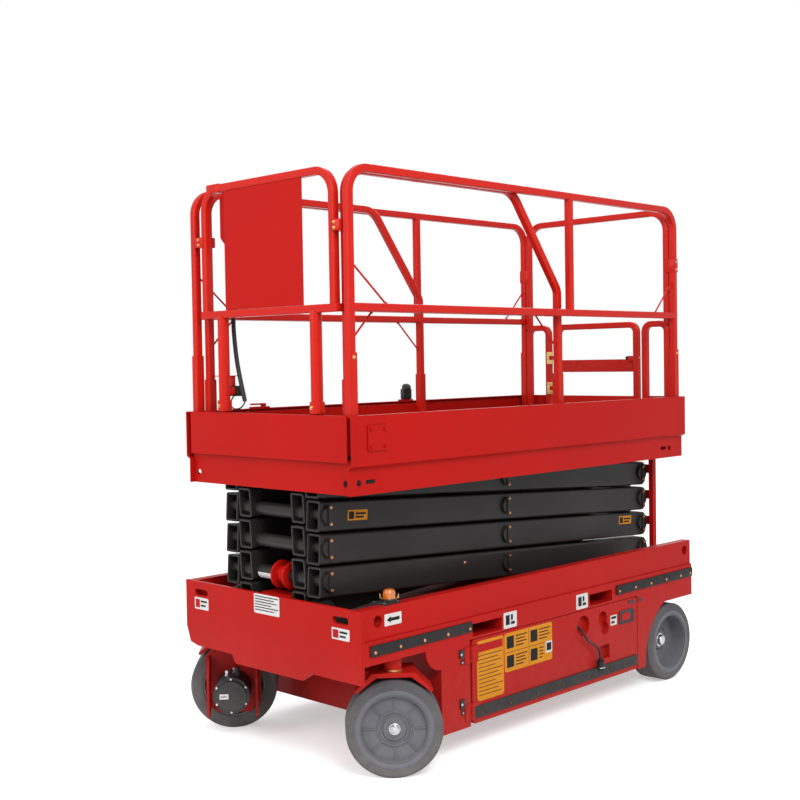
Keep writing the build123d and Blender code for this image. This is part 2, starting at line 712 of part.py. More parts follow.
foot = on_inner_arm(1, cylinder_foot)
head = on_inner_arm(2, arm_length - cylinder_head)
barrel_length = (head - foot).length - rod_showing
for level in range(1, levels + 1):
    with BuildPart() as cross_tubes:
        for end, node in ((0, level), (1, level - 1)):
            x, z = node_place(end, node)
            bar_y(x, z, (-inner_arm_y, inner_arm_y), cross_tube_radius)
        if level < 3:
            pin = foot if level == 1 else head
            tube_x, tube_z = node_place(1, 0) if level == 1 else node_place(0, 2)
            tube = Vector(tube_x, 0, tube_z)
            line = (pin - tube).normalized()
            for side in (1, -1):
                start = side * (eye_half_width + 2)
                lug_face = Plane(origin=tube + Vector(0, start, 0), x_dir=line, z_dir=(0, side, 0))
                with BuildSketch(lug_face) as lug:
                    SlotCenterToCenter((pin - tube).length, 2 * 34)
                shifted = lug.sketch.moved(Location(line * ((pin - tube).length / 2)))
                extrude(shifted, amount=lug_plate)
            pin_half_width = eye_half_width + 2 + lug_plate
            bar_y(pin.X, pin.Z, (-pin_half_width, pin_half_width), eye_pin_radius)
    save(cross_tubes, f"cross_tubes_{level}")

with BuildPart() as lift_barrel:
    bar_y(foot.X, foot.Z, (-eye_half_width, eye_half_width), eye_radius)
    rod(foot, head, 30, 70, eye_half_width - 6)
    rod(foot, head, 62, barrel_length, barrel_radius)
    bar_y(foot.X, foot.Z, (-eye_half_width - 1, eye_half_width + 1), eye_pin_radius + running,
          mode=Mode.SUBTRACT)
    rod(foot, head, barrel_length - 80, barrel_length + 1, piston_rod_radius + running, mode=Mode.SUBTRACT)
save(lift_barrel, "lift_barrel")

with BuildPart() as lift_rod:
    rod(foot, head, barrel_length - 78, (head - foot).length - 30, piston_rod_radius)
    bar_y(head.X, head.Z, (-eye_half_width, eye_half_width), eye_radius)
    bar_y(head.X, head.Z, (-eye_half_width - 1, eye_half_width + 1), eye_pin_radius + seat,
          mode=Mode.SUBTRACT)
save(lift_rod, "lift_rod")

with BuildPart() as tube_collar:
    x, z = node_place(1, 1)
    for y in (4, 74):
        bar_y(x, z, (y, y + 9), cross_tube_radius + 30)
    bar_y(x, z, (4, 83), cross_tube_radius + 8)
    bar_y(x, z, (3, 84), cross_tube_radius + 0.1, mode=Mode.SUBTRACT)
save(tube_collar, "tube_collar")

# ---------------------------------------------------------------- platform deck and skirt
track_y = (outer_y + 8, outer_y + 12 + roller_width)
track_bottom = arm_top_z + upper_roller_radius + seat
with BuildPart() as platform_deck:
    deck_half_width = platform_half_width - sheet - seat
    slab((-platform_half_length + sheet + seat, platform_half_length - 31),
         (-deck_half_width, deck_half_width), (deck_underside, deck_top))
    for side in (1, -1):
        # tracks over the rollers of the top arms
        slab((slide_end_x - track_overrun, front_pin_x + 48), (side * track_y[0], side * track_y[1]),
             (track_bottom, deck_underside + 1))
        # lugs with the pins that hold the rear ends of the top inner arms
        slab((rear_pin_x - pin_lug_radius, rear_pin_x + pin_lug_radius),
             (side * (outer_arm_y + 2), side * (outer_arm_y + 36)), (arm_top_z, deck_underside + 1))
        bar_y(rear_pin_x, arm_top_z, (side * (outer_arm_y + 2), side * (outer_arm_y + 36)), pin_lug_radius)
        bar_y(rear_pin_x, arm_top_z, (side * (inner_arm_y + 2), side * (outer_arm_y + 3)), pin_radius)
        bar_y(rear_pin_x, arm_top_z, (side * (inner_y + 0.5), side * (outer_arm_y + 3)), bush_radius)
save(platform_deck, "platform_deck")

entry_half_width = entry_post_y - 13
skirt_hole_radius = 13.0
with BuildPart() as platform_skirt:
    inset = platform_half_width - skirt_inset
    for side in (1, -1):
        # folded side: lower skirt, joggle, toe board and its return edge
        with BuildSketch(Plane.YZ.offset(-platform_half_length)) as fold:
            with BuildLine():
                Polyline((side * inset, skirt_bottom), (side * inset, skirt_bend - 12),
                         (side * platform_half_width, skirt_bend), (side * platform_half_width, toe_board_top),
                         (side * (platform_half_width - 20), toe_board_top),
                         (side * (platform_half_width - 20), toe_board_top - sheet),
                         (side * (platform_half_width - sheet), toe_board_top - sheet),
                         (side * (platform_half_width - sheet), skirt_bend + 3),
                         (side * (inset - sheet), skirt_bend - 9), (side * (inset - sheet), skirt_bottom),
                         close=True)
            make_face()
        extrude(fold.sketch, amount=2 * platform_half_length)
        for hole_x in (platform_half_length - 56, -platform_half_length + 116):
            bar_y(hole_x, skirt_bottom + 47, (side * (inset - 10), side * (inset + 1)), skirt_hole_radius,
                  mode=Mode.SUBTRACT)
        for slot_x in (platform_half_length - 117, -platform_half_length + 172):
            with BuildSketch(Plane.XZ.offset(-side * (inset + 1))) as slot:
                with Locations((slot_x, skirt_bottom + 49.5)):
                    SlotOverall(52, 16)
            extrude(slot.sketch, amount=side * 10, mode=Mode.SUBTRACT)
        # rear toe board beside the entry
        slab((-platform_half_length, -platform_half_length + sheet),
             (side * entry_half_width, side * (platform_half_width - 1)), (skirt_bend, toe_board_top))
    # front and rear skirts
    for end in (1, -1):
        outer_x = platform_half_length - skirt_inset if end > 0 else -platform_half_length
        slab((outer_x, outer_x - end * sheet), (-inset, inset), (skirt_bottom, deck_underside - seat))
        for side in (1, -1):
            with Locations(Location((outer_x, side * (inset - 39), skirt_bottom + 44.5), (0, 90, 0))):
                Cylinder(skirt_hole_radius, 30, mode=Mode.SUBTRACT)
save(platform_skirt, "platform_skirt")


# ---------------------------------------------------------------- guard rails
def tube_path(points, radii, size=rail_tube):
    """Square tube with rounded corners along straight runs and bends in one plane."""
    with BuildLine() as path:
        if radii:
            FilletPolyline(*points, radius=radii)
        else:
            Polyline(*points)
    route = path.wires()[0]
    start = route @ 0
    direction = route % 0
    normal = (Vector(*points[1]) - Vector(*points[0])).cross(Vector(*points[-1]) - Vector(*points[0]))
    if normal.length < 1:
        normal = direction.cross(Vector(0, 1, 0)) if abs(direction.Y) < 0.9 else Vector(1, 0, 0)
    with BuildSketch(Plane(origin=start, x_dir=normal.normalized(), z_dir=direction)) as section:
        RectangleRounded(size, size, rail_corner)
    sweep(section.sketch, path=route)


post_foot = deck_top + seat
sleeve = rail_tube + 4
strut_x = extension_rear_x - 18
sleeve_top = deck_top + 390
extension_sleeve_top = deck_top + 287


def post_sleeve(x, y, low, high, size=sleeve):
    """Square socket round the foot of a post."""
    slab((x - size / 2, x + size / 2), (y - size / 2, y + size / 2), (low, high))


for name, side in (("left", 1), ("right", -1)):
    y = side * rail_y
    with BuildPart() as rail:
        tube_path([(rail_front_x, y, post_foot), (rail_front_x, y, top_z), (rail_rear_x, y, top_z),
                   (rail_rear_x, y, post_foot)], rail_bend)
        tube_path([(rail_rear_x + 5, y, mid_z), (rail_front_x - 5, y, mid_z)], None)
        tube_path([(strut_x, y, mid_z + 5), (strut_x, y, top_z - 5)], None)
        for x in (rail_front_x, rail_rear_x):
            post_sleeve(x, y, post_foot, sleeve_top)
    save(rail, f"rail_{name}")

entry_top = mid_z - 38
rear_post_y = rail_y - rail_tube - 3
with BuildPart() as rail_rear:
    tube_path([(rail_rear_x, -rear_post_y, entry_top - 5), (rail_rear_x, -rear_post_y, top_z),
               (rail_rear_x, rear_post_y, top_z), (rail_rear_x, rear_post_y, entry_top - 5)], rail_bend)
    for side in (1, -1):
        inner = side * entry_post_y
        outer = side * rear_post_y
        tube_path([(rail_rear_x, inner, post_foot), (rail_rear_x, inner, entry_top),
                   (rail_rear_x, outer, entry_top), (rail_rear_x, outer, post_foot)], entry_bend)
save(rail_rear, "rail_rear")

gate_y = (-entry_post_y + 51, entry_post_y - 37)
gate_bar = (deck_top + 278, deck_top + 344)
gate_hinge_x = rail_rear_x + rail_tube / 2 + 4
gate_hinge_y = -entry_post_y + 33
gate_hinges = (deck_top + 190, deck_top + 357)
gate_foot = deck_top + clear
hinge_barrel = 6.0
hinge_rod = 3.0
with BuildPart() as gate:
    low, high = gate_y[0] + rail_tube / 2, gate_y[1] - rail_tube / 2
    tube_path([(rail_rear_x, low, gate_foot), (rail_rear_x, low, entry_top), (rail_rear_x, high, entry_top),
               (rail_rear_x, high, gate_foot)], entry_bend)
    slab((rail_rear_x - 6, rail_rear_x + 6), (low, high), gate_bar)
    slab((rail_rear_x - 3, rail_rear_x + 3), (low, high), (gate_foot, toe_board_top))
    for height in gate_hinges:
        bar_z(gate_hinge_x, gate_hinge_y, (height - 11, height + 11), hinge_barrel)
        slab((gate_hinge_x - 2, gate_hinge_x + 2), (gate_hinge_y, low), (height - 11, height + 11))
        slab((gate_hinge_x - 5, gate_hinge_x + 2), (gate_y[0] + 4, low), (height - 33, height + 33))
        bar_z(gate_hinge_x, gate_hinge_y, (height - 12, height + 12), hinge_rod + running, mode=Mode.SUBTRACT)
save(gate, "gate")

with BuildPart() as gate_hinge_leaves:
    for height in gate_hinges:
        for low in (height - 33, height + 11.5):
            bar_z(gate_hinge_x, gate_hinge_y, (low, low + 21.5), hinge_barrel)
            slab((gate_hinge_x - 2, gate_hinge_x + 2), (-entry_post_y, gate_hinge_y), (low, low + 21.5))
        slab((gate_hinge_x - 4 + seat, gate_hinge_x + 2), (-entry_post_y, -entry_post_y + 14),
             (height - 33, height + 33))
        bar_z(gate_hinge_x, gate_hinge_y, (height - 33, height + 33), hinge_rod)
save(gate_hinge_leaves, "gate_hinge_leaves")

# ---------------------------------------------------------------- deck extension
extension_foot = deck_top + seat
extension_board = extension_rail_y + sleeve / 2 + seat
front_board_x = platform_half_length - 3
front_board_bottom = deck_underside - 11
front_board_y = (-platform_half_width + 29.6, platform_half_width - 29.6)
with BuildPart() as extension_deck:
    board_outer = extension_board + extension_sheet
    slab((extension_rear_x, front_board_x - 2), (-board_outer, board_outer),
         (extension_foot, extension_foot + extension_floor))
    for side in (1, -1):
        slab((extension_rear_x, front_board_x - 2), (side * extension_board, side * board_outer),
             (extension_foot, toe_board_top - 12))
    slab((front_board_x - sheet, front_board_x), front_board_y, (front_board_bottom, toe_board_top))
    slab((front_board_x - 11, front_board_x - sheet + 1), front_board_y,
         (toe_board_top - sheet, toe_board_top))
save(extension_deck, "extension_deck")

extension_post_foot = extension_foot + extension_floor + seat
extension_post_x = extension_rear_x + 17
lean_start = mid_z + 103
lean_end_x = extension_post_x + 321
front_hoop_x = platform_half_length - front_hoop_inset
extension_front_x = front_hoop_x - rail_tube - seat
for name, side in (("left", 1), ("right", -1)):
    y = side * extension_rail_y
    with BuildPart() as extension_rail:
        tube_path([(extension_post_x, y, extension_post_foot), (extension_post_x, y, lean_start),
                   (lean_end_x, y, top_z), (extension_front_x, y, top_z),
                   (extension_front_x, y, extension_post_foot)], [60, 120, rail_bend])
        tube_path([(extension_post_x + 5, y, mid_z), (extension_front_x - 5, y, mid_z)], None)
        for x in (extension_post_x, extension_front_x):
            post_sleeve(x, y, extension_post_foot, extension_sleeve_top)
    save(extension_rail, f"extension_rail_{name}")

hoop_y = extension_rail_y - 33
front_rail_y = extension_rail_y - 7
lower_posts = (290.0, -295.0)
lower_post_radius = 24.0
with BuildPart() as extension_rail_front:
    tube_path([(front_hoop_x, -hoop_y, mid_z + 5), (front_hoop_x, -hoop_y, top_z),
               (front_hoop_x, hoop_y, top_z), (front_hoop_x, hoop_y, mid_z + 5)], rail_bend)
    tube_path([(front_hoop_x, -front_rail_y, mid_z), (front_hoop_x, front_rail_y, mid_z)], None)
    for y in lower_posts:
        bar_z(front_hoop_x, y, (extension_post_foot, mid_z - 5), lower_post_radius)
        bar_z(front_hoop_x, y, (toe_board_top + 4, toe_board_top + 50), lower_post_radius + 6)
save(extension_rail_front, "extension_rail_front")

cover_y = (-259.0, 233.0)
with BuildPart() as cover_panel:
    slab((front_hoop_x + 9, front_hoop_x + 13), cover_y,
         (mid_z + rail_tube / 2 + seat, top_z - rail_tube / 2 - seat))
save(cover_panel, "cover_panel")

control_y = (-332.0, -112.0)
control_x = (front_hoop_x - 124, front_hoop_x - 22)
control_z = (top_z - 265, top_z - 33)
with BuildPart() as control_box:
    with BuildSketch(Plane.YZ.offset(control_x[0])) as face:
        with BuildLine():
            Polyline((control_y[0], control_z[0] + 60), (control_y[0] + 60, control_z[0]),
                     (control_y[1], control_z[0]), (control_y[1], control_z[1]), (control_y[0], control_z[1]),
                     close=True)
        make_face()
        fillet(face.vertices(), 14)
    extrude(face.sketch, amount=control_x[1] - control_x[0])
    slab((control_x[1] - 1, front_hoop_x - rail_tube / 2 - seat), (control_y[0] + 30, control_y[1] - 30),
         (control_z[1] - 40, top_z + 8))
    slab((control_x[1] - 26, front_hoop_x - rail_tube / 2 - seat), (control_y[0] + 30, control_y[1] - 30),
         (control_z[1] - 40, control_z[1] - 1))
save(control_box, "control_box")

# ---------------------------------------------------------------- cover behind the front panel
cover_sheet = 6.0
front_cover_x = (front_back - 93, front_back - 17)
front_cover_y = (-70.0, 115.0)
with BuildPart() as front_cover:
    slab(front_cover_x, front_cover_y, (chassis_top - cover_sheet, chassis_top))
    slab((front_cover_x[1] - cover_sheet, front_cover_x[1]), front_cover_y, (well_floor + seat, chassis_top))
save(front_cover, "front_cover")


# ---------------------------------------------------------------- cords
def cord(points, diameter, name):
    """Round cord along straight runs joined by arcs as large as the runs allow; prints its smallest bend."""
    places = [Vector(*p) for p in points]
    runs = [b - a for a, b in zip(places, places[1:])]
    radii = []
    for before, after in zip(runs, runs[1:]):
        turn = math.radians(before.get_angle(after))
        radii.append(0.45 * min(before.length, after.length) / math.tan(turn / 2))
    with BuildLine() as path:
        FilletPolyline(*places, radius=radii)
    route = path.wires()[0]
    with BuildSketch(Plane(origin=route @ 0, z_dir=route % 0)) as section:
        Circle(diameter / 2)
    sweep(section.sketch, path=route)
    print(name, "length", round(route.length, 1), "smallest bend", round(min(radii), 1),
          "longest run", round(max(run.length for run in runs), 1))
    return route.length * math.pi * diameter ** 2 / 4


charger_diameter = 10.0
charger_route = (  # from the gland in the door's socket recess to the plug
    (-212, 530, 384),
    (-207, 556, 379),
    (-207, 577, 360),
    (-219, 584, 331),
    (-250, 582, 311),
    (-283, 580, 297),
    (-311, 577, 280),
    (-327, 576, 257),
    (-331, 576, 228),
)
with BuildPart() as charger_lead:
    expected = cord(charger_route, charger_diameter, "charger_lead")
    print("charger_lead volume", round(charger_lead.part.volume), "expected", round(expected))
save(charger_lead, "charger_lead")

# conduit of the control box: hangs inside the front rail and ends open above the deck
conduit_diameter = 20.0
conduit_route = (
    (1062, -242, control_z[0] - seat),
    (1062, -242, control_z[0] - 60),
    (1068, -266, 1950),
    (1078, -286, 1870),
    (1084, -290, 1790),
    (1084, -280, 1690),
    (1084, -262, 1585),
    (1084, -220, 1456),
)
with BuildPart() as conduit:
    expected = cord(conduit_route, conduit_diameter, "conduit")
    print("conduit volume", round(conduit.part.volume), "expected", round(expected))
save(conduit, "conduit")

# cable that leaves the conduit and turns up to the outlet box
cable_diameter = 6.0
cable_route = (
    (1084, -219.1, 1453.3),
    (1084, -234, 1434),
    (1084, -262, 1422),
    (1084, -298, 1421),
    (1084, -318, 1436),
    (1083, -316, 1462),
    (1080, -296, 1478),
)
with BuildPart() as control_cable:
    expected = cord(cable_route, cable_diameter, "control_cable")
    print("control_cable volume", round(control_cable.part.volume), "expected", round(expected))
save(control_cable, "control_cable")

plug_radius = 17.0
with BuildPart() as charger_plug:
    end = Vector(*charger_route[-1])
    axis = (end - Vector(*charger_route[-2])).normalized()
    rod(end, end + axis, 0, 12, charger_diameter / 2 + 3)
    rod(end, end + axis, 11, 52, plug_radius)
save(charger_plug, "charger_plug")
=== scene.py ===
# %% [markdown]
# # An electric scissor lift, dressed for a close look
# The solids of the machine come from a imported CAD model: chassis, scissor arms, deck, rails, wheels.
# This script gives them their finishes and adds what a maker adds last: rubber strips, plates,
# bolts, latches, cables and the small parts of the wheels. Every piece rides on the body that carries it.

# %% Load the frame
import math

import bpy
from mathutils import Matrix, Vector


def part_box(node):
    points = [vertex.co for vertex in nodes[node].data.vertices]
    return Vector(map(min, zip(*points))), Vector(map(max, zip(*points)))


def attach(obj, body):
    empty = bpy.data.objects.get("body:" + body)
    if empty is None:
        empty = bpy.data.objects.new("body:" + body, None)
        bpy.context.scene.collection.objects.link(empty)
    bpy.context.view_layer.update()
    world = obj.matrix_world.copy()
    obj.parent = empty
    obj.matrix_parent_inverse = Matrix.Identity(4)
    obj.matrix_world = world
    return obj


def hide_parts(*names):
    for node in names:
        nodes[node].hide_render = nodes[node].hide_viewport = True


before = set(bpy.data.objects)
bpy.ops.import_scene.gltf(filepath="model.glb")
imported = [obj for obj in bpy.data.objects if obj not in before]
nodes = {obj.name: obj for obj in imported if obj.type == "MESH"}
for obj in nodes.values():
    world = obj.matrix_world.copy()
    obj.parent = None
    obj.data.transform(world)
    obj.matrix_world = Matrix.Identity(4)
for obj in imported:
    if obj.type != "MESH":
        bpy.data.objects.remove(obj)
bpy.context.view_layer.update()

# %% [markdown]
# ## The view
# The camera stands off the front left corner at a worker's eye height. Its heading, tilt and roll are
# angles, so the view reads like a note on a tripod. A 55 mm lens keeps the long machine from bulging.

# %% Camera
camera_place = Vector((4.3027, 3.8465, 1.6142))
camera_heading = 0.77501  # from -X towards -Y, in radians
camera_tilt = -0.03193
camera_roll = -0.01648
forward = Vector((-math.cos(camera_heading) * math.cos(camera_tilt),
                  -math.sin(camera_heading) * math.cos(camera_tilt), math.sin(camera_tilt)))
level_right = forward.cross(Vector((0, 0, 1))).normalized()
level_up = level_right.cross(forward)
roll_right = level_right * math.cos(camera_roll) + level_up * math.sin(camera_roll)
roll_up = level_up * math.cos(camera_roll) - level_right * math.sin(camera_roll)
camera_data = bpy.data.cameras.new("view_camera")
camera_data.lens = 54.99
camera_data.sensor_width = 36.0
camera = bpy.data.objects.new("view_camera", camera_data)
camera.matrix_world = (Matrix.Translation(camera_place)
                       @ Matrix((roll_right, roll_up, -forward)).transposed().to_4x4())
bpy.context.scene.collection.objects.link(camera)
bpy.context.scene.camera = camera

# %% [markdown]
# ## Studio
# A white sweep lit by two large soft lamps. The floor answers camera rays with plain white, so the
# background stays clean, and other rays see a pale matte floor that keeps the machine's soft shadow.

# %% World, lamps and floor
def any_ray(tree, ray):
    """1 for camera, mirror and glass rays, 0 for the rays that light the machine."""
    total = ray.outputs["Is Camera Ray"]
    for kind in ("Is Glossy Ray", "Is Transmission Ray"):
        add = tree.nodes.new("ShaderNodeMath")
        add.operation = "ADD"
        add.use_clamp = True
        tree.links.new(total, add.inputs[0])
        tree.links.new(ray.outputs[kind], add.inputs[1])
        total = add.outputs["Value"]
    return total


scene = bpy.context.scene
scene.view_settings.view_transform = "Standard"
world = bpy.data.worlds.new("studio_world")
scene.world = world
world.use_nodes = True
world_nodes = world.node_tree.nodes
world_links = world.node_tree.links
world_nodes.clear()
sky_light = world_nodes.new("ShaderNodeBackground")
sky_light.inputs["Color"].default_value = (0.92, 0.95, 1.0, 1.0)
sky_light.inputs["Strength"].default_value = 0.75
sky_white = world_nodes.new("ShaderNodeBackground")
sky_white.inputs["Color"].default_value = (1.0, 1.0, 1.0, 1.0)
ray_kind = world_nodes.new("ShaderNodeLightPath")
sky_mix = world_nodes.new("ShaderNodeMixShader")
sky_out = world_nodes.new("ShaderNodeOutputWorld")
seen_white = any_ray(world.node_tree, ray_kind)
world_links.new(seen_white, sky_mix.inputs["Fac"])
world_links.new(sky_light.outputs["Background"], sky_mix.inputs[1])
world_links.new(sky_white.outputs["Background"], sky_mix.inputs[2])
world_links.new(sky_mix.outputs["Shader"], sky_out.inputs["Surface"])


def soft_lamp(name, place, target, size, power):
    """Square area lamp that looks from its place towards a target."""
    data = bpy.data.lights.new(name, "AREA")
    data.shape = "SQUARE"
    data.size = size
    data.energy = power
    lamp = bpy.data.objects.new(name, data)
    lamp.location = place
    lamp.rotation_euler = (Vector(target) - Vector(place)).to_track_quat("-Z", "Y").to_euler()
    scene.collection.objects.link(lamp)
    return lamp


soft_lamp("key_lamp", (3.2, 5.2, 5.6), (0.0, 0.0, 1.0), 3.5, 420.0)
soft_lamp("front_lamp", (6.0, -1.6, 3.4), (0.0, 0.0, 1.2), 3.0, 150.0)
soft_lamp("rear_lamp", (-5.0, -3.5, 5.0), (0.0, 0.0, 1.4), 3.5, 160.0)

floor_material = bpy.data.materials.new("floor_white")
floor_material.use_nodes = True
floor_nodes = floor_material.node_tree.nodes
floor_links = floor_material.node_tree.links
floor_bsdf = floor_nodes["Principled BSDF"]
floor_bsdf.inputs["Base Color"].default_value = (0.82, 0.82, 0.82, 1.0)
floor_bsdf.inputs["Roughness"].default_value = 0.9
floor_bsdf.inputs["Emission Color"].default_value = (1.0, 1.0, 1.0, 1.0)
floor_ray = floor_nodes.new("ShaderNodeLightPath")
floor_glow = floor_nodes.new("ShaderNodeMath")
floor_glow.operation = "MULTIPLY"
floor_glow.inputs[1].default_value = 0.45
floor_links.new(any_ray(floor_material.node_tree, floor_ray), floor_glow.inputs[0])
floor_links.new(floor_glow.outputs["Value"], floor_bsdf.inputs["Emission Strength"])
bpy.ops.mesh.primitive_circle_add(vertices=96, radius=30.0, fill_type="NGON", location=(0, 0, 0))
floor = bpy.context.object
floor.name = "studio_floor"
floor.data.materials.append(floor_material)

# %% [markdown]
# ## Shared effects
# Paint, rubber and plastic all need the same three things: a colour that drifts a little from place to
# place, dust that gathers low down, and a fine surface height. Each is a node group with named sockets,
# built once and placed in each material with its own values.


# %% Node groups
def new_group(name, inputs, outputs):
    """Empty shader node group with named sockets; returns the tree with its entry and exit nodes."""
    tree = bpy.data.node_groups.new(name, "ShaderNodeTree")
    for label, kind, value in inputs:
        tree.interface.new_socket(label, in_out="INPUT", socket_type=kind).default_value = value
    for label, kind in outputs:
        tree.interface.new_socket(label, in_out="OUTPUT", socket_type=kind)
    return tree, tree.nodes.new("NodeGroupInput"), tree.nodes.new("NodeGroupOutput")


def tone_group():
    """Colour that drifts darker in broad soft patches and in fine specks."""
    tree, entry, leave = new_group(
        "tone_drift",
        (("Color", "NodeSocketColor", (0.5, 0.5, 0.5, 1.0)), ("Drift", "NodeSocketFloat", 0.2),
         ("Scale", "NodeSocketFloat", 3.0)),
        (("Color", "NodeSocketColor"), ("Mask", "NodeSocketFloat")))
    place = tree.nodes.new("ShaderNodeTexCoord")
    patches = tree.nodes.new("ShaderNodeTexNoise")
    patches.inputs["Detail"].default_value = 6.0
    spread = tree.nodes.new("ShaderNodeMapRange")
    spread.inputs["From Min"].default_value = 0.35
    spread.inputs["From Max"].default_value = 0.7
    amount = tree.nodes.new("ShaderNodeMath")
    amount.operation = "MULTIPLY"
    darker = tree.nodes.new("ShaderNodeMix")
    darker.data_type = "RGBA"
    darker.blend_type = "MULTIPLY"
    darker.inputs["B"].default_value = (0.45, 0.42, 0.42, 1.0)
    tree.links.new(place.outputs["Object"], patches.inputs["Vector"])
    tree.links.new(entry.outputs["Scale"], patches.inputs["Scale"])
    tree.links.new(patches.outputs["Fac"], spread.inputs["Value"])
    tree.links.new(spread.outputs["Result"], amount.inputs[0])
    tree.links.new(entry.outputs["Drift"], amount.inputs[1])
    tree.links.new(amount.outputs["Value"], darker.inputs["Factor"])
    tree.links.new(entry.outputs["Color"], darker.inputs["A"])
    tree.links.new(darker.outputs["Result"], leave.inputs["Color"])
    tree.links.new(spread.outputs["Result"], leave.inputs["Mask"])
    return tree


def dust_group():
    """Mask of road dust: strongest near the floor, broken by noise."""
    tree, entry, leave = new_group(
        "road_dust",
        (("Height", "NodeSocketFloat", 0.5), ("Amount", "NodeSocketFloat", 0.3)),
        (("Mask", "NodeSocketFloat"),))
    place = tree.nodes.new("ShaderNodeTexCoord")
    split = tree.nodes.new("ShaderNodeSeparateXYZ")
    fade = tree.nodes.new("ShaderNodeMapRange")
    fade.inputs["To Min"].default_value = 1.0
    fade.inputs["To Max"].default_value = 0.0
    grain = tree.nodes.new("ShaderNodeTexNoise")
    grain.inputs["Scale"].default_value = 22.0
    grain.inputs["Detail"].default_value = 8.0
    broken = tree.nodes.new("ShaderNodeMath")
    broken.operation = "MULTIPLY"
    amount = tree.nodes.new("ShaderNodeMath")
    amount.operation = "MULTIPLY"
    amount.use_clamp = True
    tree.links.new(place.outputs["Object"], split.inputs["Vector"])
    tree.links.new(place.outputs["Object"], grain.inputs["Vector"])
    tree.links.new(split.outputs["Z"], fade.inputs["Value"])
    tree.links.new(entry.outputs["Height"], fade.inputs["From Max"])
    tree.links.new(fade.outputs["Result"], broken.inputs[0])
    tree.links.new(grain.outputs["Fac"], broken.inputs[1])
    tree.links.new(broken.outputs["Value"], amount.inputs[0])
    tree.links.new(entry.outputs["Amount"], amount.inputs[1])
    tree.links.new(amount.outputs["Value"], leave.inputs["Mask"])
    return tree


def grain_group():
    """Fine surface height: a coarse ripple, as of sprayed paint, with a finer grit over it."""
    tree, entry, leave = new_group(
        "surface_grain",
        (("Ripple", "NodeSocketFloat", 60.0), ("Grit", "NodeSocketFloat", 500.0),
         ("Grit Share", "NodeSocketFloat", 0.4)),
        (("Height", "NodeSocketFloat"),))
    place = tree.nodes.new("ShaderNodeTexCoord")
    ripple = tree.nodes.new("ShaderNodeTexNoise")
    grit = tree.nodes.new("ShaderNodeTexNoise")
    grit.inputs["Detail"].default_value = 3.0
    blend = tree.nodes.new("ShaderNodeMix")
    blend.data_type = "FLOAT"
    tree.links.new(place.outputs["Object"], ripple.inputs["Vector"])
    tree.links.new(place.outputs["Object"], grit.inputs["Vector"])
    tree.links.new(entry.outputs["Ripple"], ripple.inputs["Scale"])
    tree.links.new(entry.outputs["Grit"], grit.inputs["Scale"])
    tree.links.new(entry.outputs["Grit Share"], blend.inputs["Factor"])
    tree.links.new(ripple.outputs["Fac"], blend.inputs["A"])
    tree.links.new(grit.outputs["Fac"], blend.inputs["B"])
    tree.links.new(blend.outputs["Result"], leave.inputs["Height"])
    return tree


groups = {"tone": tone_group(), "dust": dust_group(), "grain": grain_group()}
print("node groups", sorted(groups))

# %% [markdown]
# ## Finishes
# One helper wires the groups into a Principled BSDF that stays in each material. Numbers that are the
# same all over a surface, such as coat roughness, sit on the shader's own sockets. A Bevel node rounds
# the light on folded steel edges, which on a real machine are never knife sharp.

# %% Materials
dust_color = (0.36, 0.33, 0.30, 1.0)


def finish(name, color, rough, metallic=0.0, coat=0.0, drift=0.25, drift_scale=3.0, dust=0.0,
           dust_height=0.5, ripple=60.0, grit=500.0, grit_share=0.4, bump=0.05, edge=0.0015, rough_spread=0.1,
           shine=0.35):
    """Material with drifting tone, low dust, fine grain and softly rounded edges."""
    material = bpy.data.materials.new(name)
    material.use_nodes = True
    tree = material.node_tree
    bsdf = tree.nodes["Principled BSDF"]
    bsdf.inputs["Metallic"].default_value = metallic
    bsdf.inputs["Specular IOR Level"].default_value = shine
    bsdf.inputs["Coat Weight"].default_value = coat
    bsdf.inputs["Coat Roughness"].default_value = 0.12
    tone = tree.nodes.new("ShaderNodeGroup")
    tone.node_tree = groups["tone"]
    tone.inputs["Color"].default_value = (*color, 1.0)
    tone.inputs["Drift"].default_value = drift
    tone.inputs["Scale"].default_value = drift_scale
    grime = tree.nodes.new("ShaderNodeGroup")
    grime.node_tree = groups["dust"]
    grime.inputs["Height"].default_value = dust_height
    grime.inputs["Amount"].default_value = dust
    dusty = tree.nodes.new("ShaderNodeMix")
    dusty.data_type = "RGBA"
    dusty.inputs["B"].default_value = dust_color
    tree.links.new(grime.outputs["Mask"], dusty.inputs["Factor"])
    tree.links.new(tone.outputs["Color"], dusty.inputs["A"])
    tree.links.new(dusty.outputs["Result"], bsdf.inputs["Base Color"])
    matte = tree.nodes.new("ShaderNodeMapRange")
    matte.inputs["To Min"].default_value = rough
    matte.inputs["To Max"].default_value = min(1.0, rough + rough_spread)
    tree.links.new(tone.outputs["Mask"], matte.inputs["Value"])
    tree.links.new(matte.outputs["Result"], bsdf.inputs["Roughness"])
    grain = tree.nodes.new("ShaderNodeGroup")
    grain.node_tree = groups["grain"]
    grain.inputs["Ripple"].default_value = ripple
    grain.inputs["Grit"].default_value = grit
    grain.inputs["Grit Share"].default_value = grit_share
    relief = tree.nodes.new("ShaderNodeBump")
    relief.inputs["Strength"].default_value = bump
    relief.inputs["Distance"].default_value = 0.001
    tree.links.new(grain.outputs["Height"], relief.inputs["Height"])
    if edge:
        rounding = tree.nodes.new("ShaderNodeBevel")
        rounding.samples = 4
        rounding.inputs["Radius"].default_value = edge
        tree.links.new(rounding.outputs["Normal"], relief.inputs["Normal"])
    tree.links.new(relief.outputs["Normal"], bsdf.inputs["Normal"])
    return material


